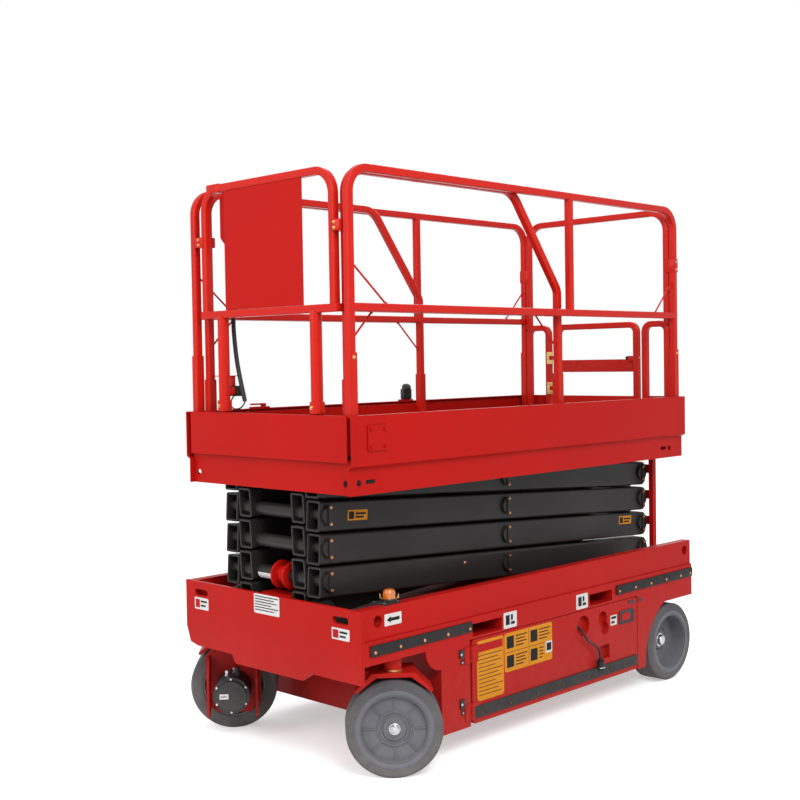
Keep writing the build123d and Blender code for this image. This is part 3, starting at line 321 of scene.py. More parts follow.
red_paint = finish("red_paint", (0.39, 0.0060, 0.0034), 0.32, coat=0.04, shine=0.06, drift=0.16,
                   drift_scale=1.6, dust=0.10, dust_height=0.55, ripple=240.0, grit=900.0, bump=0.035,
                   edge=0.0025)
rail_red = finish("rail_red", (0.47, 0.0110, 0.0052), 0.27, coat=0.07, shine=0.12, drift=0.12,
                  drift_scale=4.0, ripple=320.0, grit=900.0, bump=0.03, edge=0.0045)
stack_paint = finish("stack_paint", (0.016, 0.013, 0.013), 0.38, coat=0.05, shine=0.18, drift=0.35,
                     drift_scale=2.5, dust=0.03, dust_height=1.2, ripple=200.0, grit=700.0, bump=0.05,
                     edge=0.003)
motor_black = finish("motor_black", (0.012, 0.012, 0.013), 0.42, coat=0.03, shine=0.25, drift=0.3,
                     drift_scale=9.0, dust=0.25, dust_height=0.4, ripple=150.0, grit=600.0, bump=0.12)
wheel_grey = finish("wheel_grey", (0.120, 0.122, 0.138), 0.5, shine=0.25, drift=0.35, drift_scale=7.0,
                    dust=0.22, dust_height=0.42, ripple=120.0, grit=800.0, bump=0.10, edge=0.002)
tyre_grey = finish("tyre_grey", (0.082, 0.078, 0.082), 0.72, shine=0.2, drift=0.4, drift_scale=9.0, dust=0.35,
                   dust_height=0.42, ripple=70.0, grit=420.0, bump=0.30, edge=0.004)
strip_rubber = finish("strip_rubber", (0.012, 0.011, 0.012), 0.58, shine=0.2, drift=0.3, drift_scale=14.0,
                      dust=0.15, dust_height=0.6, ripple=110.0, grit=900.0, bump=0.25)
cable_black = finish("cable_black", (0.010, 0.010, 0.011), 0.5, drift=0.2, drift_scale=20.0, bump=0.15)
black_plastic = finish("black_plastic", (0.014, 0.014, 0.015), 0.45, drift=0.2, drift_scale=12.0,
                       ripple=300.0, grit=1200.0, bump=0.15, edge=0.001)
copper_bolt = finish("copper_bolt", (0.55, 0.27, 0.12), 0.32, metallic=1.0, drift=0.4, drift_scale=60.0,
                     bump=0.1, edge=0.0)
dull_copper = finish("dull_copper", (0.10, 0.045, 0.030), 0.5, metallic=0.6, drift=0.4, drift_scale=60.0,
                     bump=0.1, edge=0.0)
gold_zinc = finish("gold_zinc", (0.70, 0.46, 0.16), 0.34, metallic=1.0, drift=0.4, drift_scale=40.0,
                   bump=0.08, edge=0.0008)
bright_steel = finish("bright_steel", (0.55, 0.55, 0.56), 0.28, metallic=1.0, drift=0.35, drift_scale=50.0,
                      bump=0.06, edge=0.0008)
chrome_rod = finish("chrome_rod", (0.66, 0.67, 0.69), 0.12, metallic=1.0, drift=0.1, drift_scale=30.0,
                    bump=0.01, edge=0.0)
label_yellow = finish("label_yellow", (0.55, 0.21, 0.005), 0.45, shine=0.15, drift=0.1, drift_scale=25.0,
                      bump=0.02, edge=0.0)
label_white = finish("label_white", (0.56, 0.55, 0.53), 0.42, drift=0.12, drift_scale=30.0,
                     bump=0.02, edge=0.0)
label_black = finish("label_black", (0.010, 0.010, 0.010), 0.5, shine=0.1, drift=0.1, drift_scale=30.0,
                     bump=0.02, edge=0.0)
label_red = finish("label_red", (0.36, 0.006, 0.006), 0.45, shine=0.1, drift=0.1, drift_scale=30.0,
                   bump=0.02, edge=0.0)
amber = finish("amber", (0.95, 0.24, 0.01), 0.16, coat=0.6, drift=0.15, drift_scale=40.0,
               bump=0.02, edge=0.002)
amber.node_tree.nodes["Principled BSDF"].inputs["Transmission Weight"].default_value = 0.55

# %% [markdown]
# ## Finishes on the solids
# Each CAD node keeps its mesh and only changes its material, by the kind of part that it is. The table
# goes from the start of a node's name to its finish, and the longest match wins.

# %% Paint the nodes
node_finishes = {
    "": red_paint, "rail": rail_red, "extension_rail": rail_red, "gate": rail_red, "gate_hinge": gold_zinc,
    "outer_arms": stack_paint, "inner_arms": stack_paint, "cross_tubes": stack_paint,
    "slide_tracks": stack_paint,
    "platform_deck": stack_paint, "tyre": tyre_grey, "rim": wheel_grey, "drive_motor": motor_black,
    "steer_barrel": motor_black, "steer_rod": chrome_rod, "tie_rod": motor_black, "lift_barrel": stack_paint,
    "lift_rod": chrome_rod, "battery": black_plastic, "hydraulic": motor_black, "charger": cable_black,
    "beacon_base": black_plastic, "beacon_dome": amber, "conduit": black_plastic,
    "control_cable": cable_black,
}
for node_name, node in nodes.items():
    best = max((key for key in node_finishes if node_name.startswith(key)), key=len)
    for material_slot in node.material_slots:
        material_slot.material = node_finishes[best]

# %% [markdown]
# ## Tools for small parts
# Every added part starts from a primitive and is shaped in edit mode, as by hand. These helpers hold the
# steps that all parts share: a rounded block, a flat plate with round corners, and a turned part that
# grows ring by ring, as on a lathe. Parts are made at the origin, then aimed at their place.


# %% Helpers
def choose(*parts):
    """Leaves edit mode, selects these parts alone and makes the first one active."""
    if bpy.context.object and bpy.context.object.mode != "OBJECT":
        bpy.ops.object.mode_set(mode="OBJECT")
    bpy.ops.object.select_all(action="DESELECT")
    for part in parts:
        part.select_set(True)
    if parts:
        bpy.context.view_layer.objects.active = parts[0]


def edit(part):
    """Opens a part in edit mode with all of it selected."""
    choose(part)
    bpy.ops.object.mode_set(mode="EDIT")
    bpy.ops.mesh.select_all(action="SELECT")


def close(part):
    """Merges doubles, turns every face outwards and leaves edit mode."""
    bpy.ops.mesh.select_all(action="SELECT")
    bpy.ops.mesh.remove_doubles(threshold=0.00001)
    bpy.ops.mesh.normals_make_consistent(inside=False)
    bpy.ops.object.mode_set(mode="OBJECT")
    return part


def block(low, high, rounding=0.002, segments=2):
    """Block between two corners, with rounded edges."""
    centre = [(a + b) / 2 for a, b in zip(low, high)]
    choose()
    bpy.ops.mesh.primitive_cube_add(size=1, location=centre)
    part = bpy.context.object
    part.scale = [abs(b - a) for a, b in zip(low, high)]
    bpy.ops.object.transform_apply(location=True, rotation=True, scale=True)
    edit(part)
    bpy.ops.mesh.bevel(offset=rounding, segments=segments, affect="EDGES")
    return close(part)


def plate(width, height, thickness, corner, segments=3):
    """Flat plate on the XY plane with round corners; it grows along +Z."""
    choose()
    bpy.ops.mesh.primitive_plane_add(size=1)
    part = bpy.context.object
    part.scale = (width, height, 1)
    bpy.ops.object.transform_apply(location=True, rotation=True, scale=True)
    edit(part)
    bpy.ops.mesh.bevel(offset=corner, segments=segments, affect="VERTICES")
    bpy.ops.mesh.select_all(action="SELECT")
    bpy.ops.mesh.extrude_region_move(TRANSFORM_OT_translate={"value": (0, 0, thickness)})
    return close(part)


def turned(rings, sides=24):
    """Round part about Z from a table of (radius, height), first to last, with closed ends."""
    radius, height = rings[0]
    choose()
    bpy.ops.mesh.primitive_circle_add(vertices=sides, radius=radius, fill_type="NGON",
                                      location=(0, 0, height))
    part = bpy.context.object
    bpy.ops.object.transform_apply(location=True, rotation=True, scale=True)
    edit(part)
    for next_radius, next_height in rings[1:]:
        bpy.ops.mesh.extrude_region_move(TRANSFORM_OT_translate={"value": (0, 0, next_height - height)})
        grow = next_radius / radius
        bpy.ops.transform.resize(value=(grow, grow, 1), center_override=(0, 0, 0))
        radius, height = next_radius, next_height
    return close(part)


def aim(part, point, axis, up=(0, 0, 1), size=1.0):
    """Moves a part from the origin to a point, with its Z along an axis and its Y towards up."""
    z = Vector(axis).normalized()
    x = Vector(up).cross(z)
    x = x.normalized() if x.length > 0.001 else Vector((1, 0, 0))
    turn = Matrix((x, z.cross(x), z)).transposed().to_4x4()
    part.matrix_world = Matrix.Translation(point) @ turn @ Matrix.Diagonal((size, size, size, 1))
    return part


def painted(part, material):
    """Gives a part one material."""
    part.data.materials.clear()
    part.data.materials.append(material)
    return part


def joined(parts):
    """Several parts as one object, which sits at the origin."""
    bpy.context.view_layer.update()
    choose(*parts)
    if len(parts) > 1:
        bpy.ops.object.join()
    bpy.ops.object.transform_apply(location=True, rotation=True, scale=True)
    return bpy.context.object


def set_out(master, places):
    """Copies a master part to each place of a table and joins the copies; a place is aim's arguments."""
    copies = []
    for place in places:
        twin = master.copy()
        twin.data = master.data.copy()
        scene.collection.objects.link(twin)
        copies.append(aim(twin, *place))
    return joined(copies)


def fitted(part, name, body, material=None, smooth=38):
    """Last step of every part: its place goes into its mesh and it rides on its body."""
    choose(part)
    bpy.ops.object.transform_apply(location=True, rotation=True, scale=True)
    bpy.ops.object.shade_smooth_by_angle(angle=math.radians(smooth))
    part.name = name
    part.data.name = name
    if material:
        painted(part, material)
    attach(part, body)
    return part


def scrap(*parts):
    """Removes master parts that were only copied."""
    for part in parts:
        bpy.data.objects.remove(part)


# %% [markdown]
# ## Fasteners
# One bolt, one rivet and one castle nut are modelled once and copied wherever the machine has them. The
# bolt is a hexagon on a washer with a chamfered top; the rivet is a low dome with a thin rim.

# %% Master fasteners
def hex_head(across, height):
    """Hexagon head that stands on the XY plane, with its top edge chamfered."""
    choose()
    bpy.ops.mesh.primitive_cylinder_add(vertices=6, radius=across / math.sqrt(3), depth=height,
                                        location=(0, 0, height / 2))
    part = bpy.context.object
    bpy.ops.object.transform_apply(location=True, rotation=True, scale=True)
    edit(part)
    bpy.ops.mesh.bevel(offset=height * 0.14, segments=2, affect="EDGES")
    return close(part)


def make_bolt():
    """Hexagon bolt head on its washer, 18 mm across the flats."""
    washer = turned(((0.0125, 0), (0.0125, 0.0016), (0.0120, 0.0022)), 20)
    head = hex_head(0.018, 0.0075)
    head.location.z = 0.0022
    return joined([washer, head])


def make_castle_nut(across, height, bore):
    """Castle nut with six teeth round its crown, the end of the spindle in it and a split pin across."""
    nut = hex_head(across, height)
    crown = turned(((across * 0.46, height), (across * 0.45, height * 1.25)), 24)
    teeth = []
    for step in range(6):
        angle = step * math.pi / 3
        reach = across * 0.36
        tooth = block((-across * 0.10, -across * 0.13, height * 1.2),
                      (across * 0.10, across * 0.13, height * 1.7), 0.0008, 1)
        tooth.matrix_world = (Matrix.Rotation(angle, 4, "Z") @ Matrix.Translation((reach, 0, 0)))
        teeth.append(tooth)
    spindle = turned(((bore, height), (bore, height * 1.62), (bore * 0.8, height * 1.75)), 16)
    pin = turned(((0.0016, -across * 0.62), (0.0016, across * 0.62)), 8)
    aim(pin, (0, 0, height * 1.5), (0.87, 0.5, 0))
    return joined([nut, crown, *teeth, spindle, pin])


bolt = make_bolt()
rivet = turned(((0.0085, 0), (0.0085, 0.0012), (0.0068, 0.0030), (0.0035, 0.0042)), 14)
print("bolt faces", len(bolt.data.polygons), "rivet faces", len(rivet.data.polygons))

# %% [markdown]
# ## Rubber strips
# Flat rubber strips guard the sides of the chassis and the lower edges of the doors. Each is a long bar
# with soft edges, held by copper rivets at an even pitch. The strips stop short of the fork pockets.

# %% Rub strips
half_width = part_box("front_panel")[1].y
front_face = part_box("front_panel")[1].x
strip_depth = 0.008
rub_strips = (  # name, ends along X, low and high edge, rivets, body stem
    ("front", (0.541, 1.125), (0.497, 0.540), (1.101, 0.965, 0.829, 0.692, 0.558), "chassis"),
    ("rear", (-1.167, -0.493), (0.494, 0.538), (-0.516, -0.650, -0.785, -0.920, -1.054, -1.145), "chassis"),
    ("door", (-0.661, 0.541), (0.135, 0.184), (0.492, 0.305, 0.118, -0.069, -0.256, -0.443, -0.630), "door"),
)
for side, hand in ((1, "left"), (-1, "right")):
    for stem, ends, edges, rivets, carrier in rub_strips:
        body = f"door_{hand}" if carrier == "door" else "chassis"
        face_y = side * half_width
        strip = block((ends[0], face_y, edges[0]), (ends[1], face_y + side * strip_depth, edges[1]), 0.003, 3)
        fitted(strip, f"rub_strip_{stem}_{hand}", body, strip_rubber)
        middle = (edges[0] + edges[1]) / 2 - 0.006
        heads = set_out(rivet, [((x, face_y + side * strip_depth, middle), (0, side, 0), (0, 0, 1), 0.8)
                                for x in rivets])
        fitted(heads, f"strip_rivets_{stem}_{hand}", body,
               dull_copper if carrier == "door" else copper_bolt)
print("strip rivets a side", sum(len(row[3]) for row in rub_strips))

# %% [markdown]
# ## Stickers
# A sticker is a half-millimetre plate with round corners and a few plain patches of colour on it. All
# of them are blank of words: bars stand where lines of print would be, and one on each side carries a
# bare arrow.


# %% Stickers on the sides
def sticker(name, body, centre, axis, size, ground, marks=(), up=(0, 0, 1), extra=()):
    """Thin sticker centred on a point; a mark is (left, bottom, right, top, material) from its centre."""
    parts = [painted(plate(size[0], size[1], 0.0005, min(size) * 0.07), ground)]
    for left, bottom, right, top, ink in marks:
        mark = plate(right - left, top - bottom, 0.0002, 0.0005, 1)
        mark.location = ((left + right) / 2, (bottom + top) / 2, 0.0005)
        parts.append(painted(mark, ink))
    return fitted(aim(joined([*parts, *extra]), centre, axis, up), name, body)


def arrow_marks(tip, neck, tail, head_height, shaft_height):
    """Black arrow on a sticker that points along local -X."""
    choose()
    bpy.ops.mesh.primitive_circle_add(vertices=3, radius=1, fill_type="NGON")
    head = bpy.context.object
    head.scale = (head_height / math.sqrt(3), abs(neck - tip) / 1.5, 1)
    bpy.ops.object.transform_apply(location=True, rotation=True, scale=True)
    edit(head)
    bpy.ops.mesh.extrude_region_move(TRANSFORM_OT_translate={"value": (0, 0, 0.0002)})
    close(head)
    head.rotation_euler = (0, 0, math.pi / 2)
    head.location = (tip + abs(neck - tip) * 2 / 3, 0, 0.0005)
    shaft = plate(abs(tail - neck), shaft_height, 0.0002, 0.0005, 1)
    shaft.location = ((neck + tail) / 2, 0, 0.0005)
    return [painted(head, label_black), painted(shaft, label_black)]


def text_rows(left, right, top, pitch, rows, height, ink):
    """Bars of uneven length where lines of print would be."""
    return tuple((left, top - row * pitch - height, right - (right - left) * (0.0, 0.18, 0.06, 0.3)[row % 4],
                  top - row * pitch, ink) for row in range(rows))


upper_rail = 0.009  # the upper side rail stands this far behind the skin
for side, hand in ((1, "left"), (-1, "right")):
    out = (0, side, 0)
    rail_face = side * (half_width - upper_rail)
    skin = side * half_width
    sticker(f"arrow_sticker_{hand}", "chassis", (0.9885, rail_face, 0.622), out, (0.093, 0.046), label_white,
            extra=arrow_marks(-0.0355, -0.0125, 0.0355, 0.026, 0.013))
    for number, x in ((1, 0.291), (2, -0.225)):
        sticker(f"pocket_sticker_{number}_{hand}", "chassis", (x, skin, 0.5055), out, (0.088, 0.068),
                label_white, ((-0.030, -0.020, -0.004, 0.022, label_black),
                              (0.004, -0.020, 0.030, -0.008, label_black),
                              (0.004, -0.002, 0.018, 0.022, label_black)))
    door = f"door_{hand}"
    sticker(f"tall_sticker_{hand}", door, (0.4240, skin, 0.324), out, (0.172, 0.250), label_yellow,
            ((-0.080, 0.078, 0.080, 0.112, label_red),
             *text_rows(-0.078, 0.078, 0.064, 0.0165, 11, 0.003, label_black)))
    sticker(f"wide_sticker_{hand}", door, (0.167, skin, 0.3675), out, (0.330, 0.166), label_yellow,
            ((-0.160, -0.001, 0.160, 0.001, label_black), (-0.001, -0.078, 0.001, 0.078, label_black),
             (-0.150, 0.016, -0.102, 0.068, label_black), (0.012, 0.016, 0.060, 0.068, label_black),
             (-0.150, -0.066, -0.102, -0.014, label_black), (0.012, -0.066, 0.060, -0.014, label_black),
             *text_rows(-0.090, -0.012, 0.066, 0.014, 4, 0.005, label_black),
             *text_rows(0.072, 0.152, 0.066, 0.014, 4, 0.005, label_black),
             *text_rows(-0.090, -0.012, -0.016, 0.014, 4, 0.005, label_black),
             *text_rows(0.072, 0.104, -0.016, 0.014, 4, 0.005, label_black)))
    sticker(f"small_sticker_{hand}", door, (0.0265, side * (half_width + 0.0006), 0.3435), out,
            (0.046, 0.050), label_white, ((-0.017, -0.016, 0.017, 0.018, label_black),))
    sticker(f"tag_sticker_{hand}", door, (-0.473, skin, 0.3785), out, (0.052, 0.048), label_white,
            ((-0.020, 0.006, 0.020, 0.018, label_black), (-0.020, -0.014, 0.008, -0.004, label_black)))

# %% [markdown]
# ## Door latch, slots and hinge guards
# The doors are shut by a black paddle latch: a dished plate with a round-ended paddle, set on the skin.
# Small black grommets fill the slots behind it. On the front pillar each hinge is covered by a black
# plate with one bright screw, and a smaller one sits below it.

# %% Latches and hinge guards
for side, hand in ((1, "left"), (-1, "right")):
    skin = side * half_width
    out = (0, side, 0)
    frame_plate = plate(0.119, 0.063, 0.004, 0.010, 4)
    edit(frame_plate)
    bpy.ops.mesh.select_all(action="DESELECT")
    bpy.ops.object.mode_set(mode="OBJECT")
    top_face = max(frame_plate.data.polygons, key=lambda face: face.center.z)
    top_face.select = True
    bpy.ops.object.mode_set(mode="EDIT")
    bpy.ops.mesh.select_mode(type="FACE")
    bpy.ops.mesh.inset(thickness=0.007)
    bpy.ops.transform.translate(value=(0, 0, -0.0025))
    bpy.ops.mesh.select_mode(type="VERT")
    close(frame_plate)
    pull = plate(0.072, 0.034, 0.003, 0.010, 4)
    pull.location = (-0.006, 0, 0.0006)
    latch = joined([painted(frame_plate, black_plastic), painted(pull, red_paint)])
    fitted(aim(latch, (-0.5775, skin, 0.3805), out), f"door_latch_{hand}", f"door_{hand}")
    grommet = aim(plate(0.048, 0.016, 0.002, 0.007, 4), (-0.621, skin, 0.443), out)
    fitted(grommet, f"door_grommet_{hand}", f"door_{hand}", black_plastic)
    pillar_slot = aim(plate(0.034, 0.015, 0.002, 0.006, 4), (-0.696, skin, 0.442), out)
    fitted(pillar_slot, f"pillar_pad_{hand}", "chassis", black_plastic)
    guards = []
    for low, high, right, depth, edge in (
            (0.398, 0.433, 0.622, 0.007, 0.002), (0.191, 0.230, 0.622, 0.007, 0.002),
            (0.373, 0.389, 0.612, 0.005, 0.0015), (0.164, 0.183, 0.612, 0.005, 0.0015)):
        guard = block((0.594, skin, low), (right, skin + side * depth, high), edge)
        guards.append(painted(guard, black_plastic))
    screw = turned(((0.0055, 0), (0.0055, 0.0018), (0.0035, 0.0030)), 12)
    screws = set_out(screw, [((0.614, skin + side * 0.007, z), out) for z in (0.4155, 0.2105)]
                     + [((0.606, skin + side * 0.005, z), out, (0, 0, 1), 0.7) for z in (0.381, 0.1735)])
    scrap(screw)
    guards.append(painted(screws, bright_steel))
    fitted(joined(guards), f"hinge_guards_{hand}", "chassis")

# %% [markdown]
# ## Front of the chassis
# Blank white stickers sit low on both sides of the front panel and at its top edge. Behind the top edge
# a red cover carries a yellow plate. The beacon is guarded by two bright wire hoops that cross over it.

# %% Front stickers, cover plate and beacon guard
ahead = (1, 0, 0)
sticker("front_sticker_right", "chassis", (front_face, -0.4395, 0.5825), ahead, (0.097, 0.051), label_white,
        ((-0.042, -0.018, -0.012, 0.018, label_red), (-0.006, 0.006, 0.038, 0.014, label_black),
         (-0.006, -0.012, 0.028, -0.004, label_black)))
sticker("front_sticker_left", "chassis", (front_face, 0.4405, 0.5775), ahead, (0.099, 0.045), label_white,
        ((-0.044, -0.016, -0.012, 0.016, label_red), (-0.006, 0.004, 0.038, 0.012, label_black),
         (-0.006, -0.012, 0.028, -0.004, label_black)))
sticker("front_sticker_top", "chassis", (front_face, 0.0, 0.6335), ahead, (0.161, 0.080), label_white,
        text_rows(-0.074, 0.074, 0.032, 0.011, 6, 0.004, label_black))
cover_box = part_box("front_cover")
sticker("cover_sticker", "chassis", (cover_box[1].x, 0.050, cover_box[1].z - 0.045), ahead, (0.090, 0.060),
        label_yellow, text_rows(-0.038, 0.038, 0.022, 0.012, 4, 0.004, label_black))
dome_low, dome_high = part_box("beacon_dome")
dome_centre = (dome_low + dome_high) / 2


def wire_hoop(span, rise, wire, segments=20, sides=8):
    """Wire bent into an arch: two straight legs up from the XY plane and a half circle over them."""
    choose()
    bpy.ops.mesh.primitive_circle_add(vertices=sides, radius=wire, fill_type="NGON", location=(span, 0, 0))
    arch = bpy.context.object
    bpy.ops.object.transform_apply(location=True, rotation=True, scale=True)
    edit(arch)
    bpy.ops.mesh.extrude_region_move(TRANSFORM_OT_translate={"value": (0, 0, rise)})
    bpy.ops.mesh.spin(steps=segments, angle=-math.pi, center=(0, 0, rise), axis=(0, 1, 0))
    bpy.ops.mesh.extrude_region_move(TRANSFORM_OT_translate={"value": (0, 0, -rise)})
    return close(arch)


hoop_radius = (dome_high.x - dome_low.x) / 2 + 0.011
hoop_rise = (dome_high.z - dome_low.z) - hoop_radius + 0.018
hoop_places = [((dome_centre.x, dome_centre.y, dome_low.z), (0, 0, 1), (math.cos(a), math.sin(a), 0))
               for a in (math.radians(45), math.radians(-45))]
wire_master = wire_hoop(hoop_radius, hoop_rise, 0.0018)
beacon_guard = set_out(wire_master, hoop_places)
scrap(wire_master)
fitted(beacon_guard, "beacon_guard", "chassis", gold_zinc, 60)
screw = turned(((0.0045, 0), (0.0045, 0.0014), (0.0028, 0.0024)), 12)
base_low, base_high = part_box("beacon_base")
screws = set_out(screw, [((x, y, base_low.z + 0.006), (0, 0, 1))
                         for x in (base_low.x + 0.008, base_high.x - 0.010)
                         for y in (base_low.y + 0.010, base_high.y - 0.010)])
scrap(screw)
fitted(screws, "beacon_screws", "chassis", bright_steel)

# %% [markdown]
# ## Scissor arms
# Each pin of the arms ends in a round cap. A forged lock plate keeps the pin from turning: it lies across
# the cap and is held by two copper-coloured bolts. Two of the arms carry blank yellow stickers, a white one
# wraps the front tube, and one copper rivet marks the grease point of the lowest arm.

# %% Lock plates, arm stickers and grease point
cap_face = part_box("outer_arms_1")[1].y
rear_pin, middle_pin, front_pin = -1.105, -0.007, 1.0911
pin_bottom, level_step = 0.620, 0.131
for side, hand in ((1, "left"), (-1, "right")):
    for level in (1, 2, 3, 4):
        body = f"outer_{level}"
        caps = [(rear_pin, pin_bottom + level_step * (level - 1)),
                (middle_pin, pin_bottom + level_step * (level - 0.5))]
        if level < 4:
            caps.append((front_pin, pin_bottom + level_step * level))
        out = (0, side, 0)
        lock = plate(0.022, 0.086, 0.005, 0.010, 4)
        keepers = set_out(lock, [((x, side * cap_face, z), out) for x, z in caps])
        scrap(lock)
        fitted(keepers, f"lock_plates_{level}_{hand}", body, stack_paint)
        small_bolts = set_out(bolt, [((x, side * (cap_face + 0.005), z + rise), out, (0, 0, 1), 0.55)
                                     for x, z in caps for rise in (-0.033, 0.033)])
        fitted(small_bolts, f"lock_bolts_{level}_{hand}", body, copper_bolt)
arm_face = 0.295  # outer side of the arms, where stickers and grease points sit
arm_slope = math.atan2(level_step, front_pin - rear_pin)
arm_up = (-math.sin(arm_slope), 0, math.cos(arm_slope))
for side, hand in ((1, "left"), (-1, "right")):
    for number, body, x, z in ((1, "outer_3", 0.931, 0.999), (2, "outer_2", -0.958, 0.781)):
        sticker(f"arm_sticker_{number}_{hand}", body, (x, side * arm_face, z), (0, side, 0), (0.110, 0.042),
                label_yellow, ((-0.048, -0.015, -0.020, 0.015, label_black),
                               (-0.012, 0.002, 0.046, 0.010, label_black),
                               (-0.012, -0.012, 0.034, -0.004, label_black)), up=arm_up)
grease = set_out(rivet, [((0.284, side * arm_face, 0.721), (0, side, 0)) for side in (1, -1)])
fitted(grease, "grease_points", "outer_1", copper_bolt)
choose()
bpy.ops.mesh.primitive_plane_add(size=1, location=(front_pin + 0.0282, -0.056, pin_bottom + level_step))
wrap = bpy.context.object
wrap.scale = (0.0006, 0.112, 1)
bpy.ops.object.transform_apply(location=True, rotation=True, scale=True)
edit(wrap)
bpy.ops.mesh.spin(steps=14, angle=math.radians(-80), center=(front_pin, 0, pin_bottom + level_step),
                  axis=(0, 1, 0))
close(wrap)
fitted(wrap, "tube_sticker", "inner_2", label_white, 60)

# %% [markdown]
# ## Lift cylinder
# The piston rod reaches from near the foot of the barrel to the upper eye. At rest nearly all of it is
# hidden, and at full height only its last few millimetres stay in the barrel. The solid rod is only the
# end that shows at rest, so the hidden length is added here and rides with it.

# %% Hidden length of the piston rod
cylinder_foot = Vector((0.981291, 0, 0.62655))
cylinder_line = Vector((-0.99167724, 0, 0.12874876))
rod_radius, rod_start, rod_end = 0.0339, 0.080, 1.660
piston_rod = aim(turned(((rod_radius, 0), (rod_radius, rod_end - rod_start)), 40),
                 cylinder_foot + cylinder_line * rod_start, cylinder_line, (0, 1, 0))
fitted(piston_rod, "piston_rod_length", "lift_rod", chrome_rod, 60)

# %% [markdown]
# ## Platform
# The deck's side carries a red mounting plate with four bolts. Gold bolts cross the sockets in which the
# posts stand, and red clamps join the front hoop to the side rails. Thin red stays brace the posts
# against the middle rail; each ends in a small flat tab.

# %% Mounting plates, sleeve bolts and clamps
platform_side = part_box("platform_skirt")[1].y
for side, hand in ((1, "left"), (-1, "right")):
    out = (0, side, 0)
    pad = aim(plate(0.105, 0.098, 0.006, 0.006), (1.037, side * platform_side, 1.322), out)
    fitted(pad, f"mount_plate_{hand}", "platform", red_paint)
    bolts = set_out(bolt, [((1.037 + dx, side * (platform_side + 0.006), 1.322 + dz), out, (0, 0, 1), 0.62)
                           for dx in (-0.037, 0.037) for dz in (-0.033, 0.033)])
    fitted(bolts, f"mount_bolts_{hand}", "platform", red_paint)
    sleeve_bolts = set_out(bolt, [((x, side * 0.499, 1.632), out, (0, 0, 1), 0.62) for x in (1.130, -1.134)])
    fitted(sleeve_bolts, f"sleeve_bolts_{hand}", "platform", gold_zinc)
    inner_bolt = set_out(bolt, [((1.0997, side * 0.453, 1.519), out, (0, 0, 1), 0.62)])
    fitted(inner_bolt, f"extension_bolt_{hand}", "extension", gold_zinc)
    lower_bolt = set_out(bolt, [((1.162, side * 0.2925 - 0.0025, 1.4375), (1, 0, 0), (0, 0, 1), 0.62)])
    fitted(lower_bolt, f"lower_post_bolt_{hand}", "extension", gold_zinc)

for side, hand in ((1, "left"), (-1, "right")):
    clamp = block((1.0835, side * 0.401, 2.112), (1.1535, side * 0.4545, 2.156), 0.004)
    fitted(clamp, f"hoop_clamp_{hand}", "extension", rail_red)
    clamp_bolts = set_out(bolt, [((1.1535, side * 0.428, z), ahead, (0, 0, 1), 0.5) for z in (2.123, 2.145)])
    fitted(clamp_bolts, f"hoop_clamp_bolts_{hand}", "extension", gold_zinc)
    rear_clamp = block((-1.153, side * 0.444, 2.040), (-1.1155, side * 0.500, 2.110), 0.004)
    fitted(rear_clamp, f"rear_clamp_{hand}", "platform", rail_red)
    rear_bolts = set_out(bolt, [((-1.1345, side * 0.500, z), (0, side, 0), (0, 0, 1), 0.5)
                                for z in (2.056, 2.094)])
    fitted(rear_bolts, f"rear_clamp_bolts_{hand}", "platform", bright_steel)


# %% Stays
def stay(start, end, wire=0.0042):
    """Thin round rod between two points with a flat tab at each end."""
    start, end = Vector(start), Vector(end)
    span = end - start
    rod = aim(turned(((wire, 0), (wire, span.length)), 12), start, span, (0, 1, 0))
    tabs = [aim(plate(0.018, 0.012, 0.003, 0.003), point, (0, math.copysign(1, start.y), 0),
                (-span.z, 0, span.x)) for point in (start, end)]
    return joined([rod, *tabs])


stays = (  # body, side, then start and end as (x, z), on the main rails and on the extension's
    ("platform", 0.481, (1.116, 1.990), (0.935, 1.836)),
    ("platform", 0.481, (-1.120, 1.990), (-0.965, 1.836)),
    ("extension", 0.435, (0.969, 1.808), (1.088, 1.690)),
    ("extension", 0.435, (-0.060, 1.808), (-0.205, 1.670)),
)
for body, y, start, end in stays:
    for side, hand in ((1, "left"), (-1, "right")):
        place = "front" if start[0] > 0 and end[0] > 0 else "rear"
        rod = stay((start[0], side * y, start[1]), (end[0], side * y, end[1]))
        fitted(rod, f"{body}_stay_{place}_{hand}", body, rail_red)

# %% [markdown]
# ## Gate, latch and outlet
# The gate's bar carries a black pad where hands push it and a spring bolt that drops behind the post.
# On the far toe board sit the red latch that frees the sliding extension and a weatherproof outlet.

# %% Gate fittings, latch and outlet
gate_pad = block((-1.139, -0.120, 1.548), (-1.1425, 0.180, 1.594), 0.0015)
fitted(gate_pad, "gate_pad", "gate", strip_rubber)
gate_case = block((-1.141, 0.212, 1.588), (-1.123, 0.252, 1.622), 0.003)
gate_pin = aim(turned(((0.006, 0), (0.006, 0.060), (0.0045, 0.063)), 16), (-1.132, 0.214, 1.611), (0, 1, 0))
gate_knob = aim(turned(((0.006, 0), (0.010, 0.004), (0.010, 0.014), (0.007, 0.018)), 20),
                (-1.132, 0.213, 1.611), (0, -1, 0))
gate_bolt = joined([painted(gate_case, rail_red), painted(gate_pin, gold_zinc),
                    painted(gate_knob, black_plastic)])
fitted(gate_bolt, "gate_spring_bolt", "gate")
leaf_screws = set_out(rivet, [((-1.112, y, z + dz), (1, 0, 0), (0, 0, 1), 0.5) for z in (1.450, 1.617)
                              for y in (-0.305, -0.292) for dz in (-0.022, 0.022)])
fitted(leaf_screws, "gate_hinge_screws", "platform", gold_zinc)

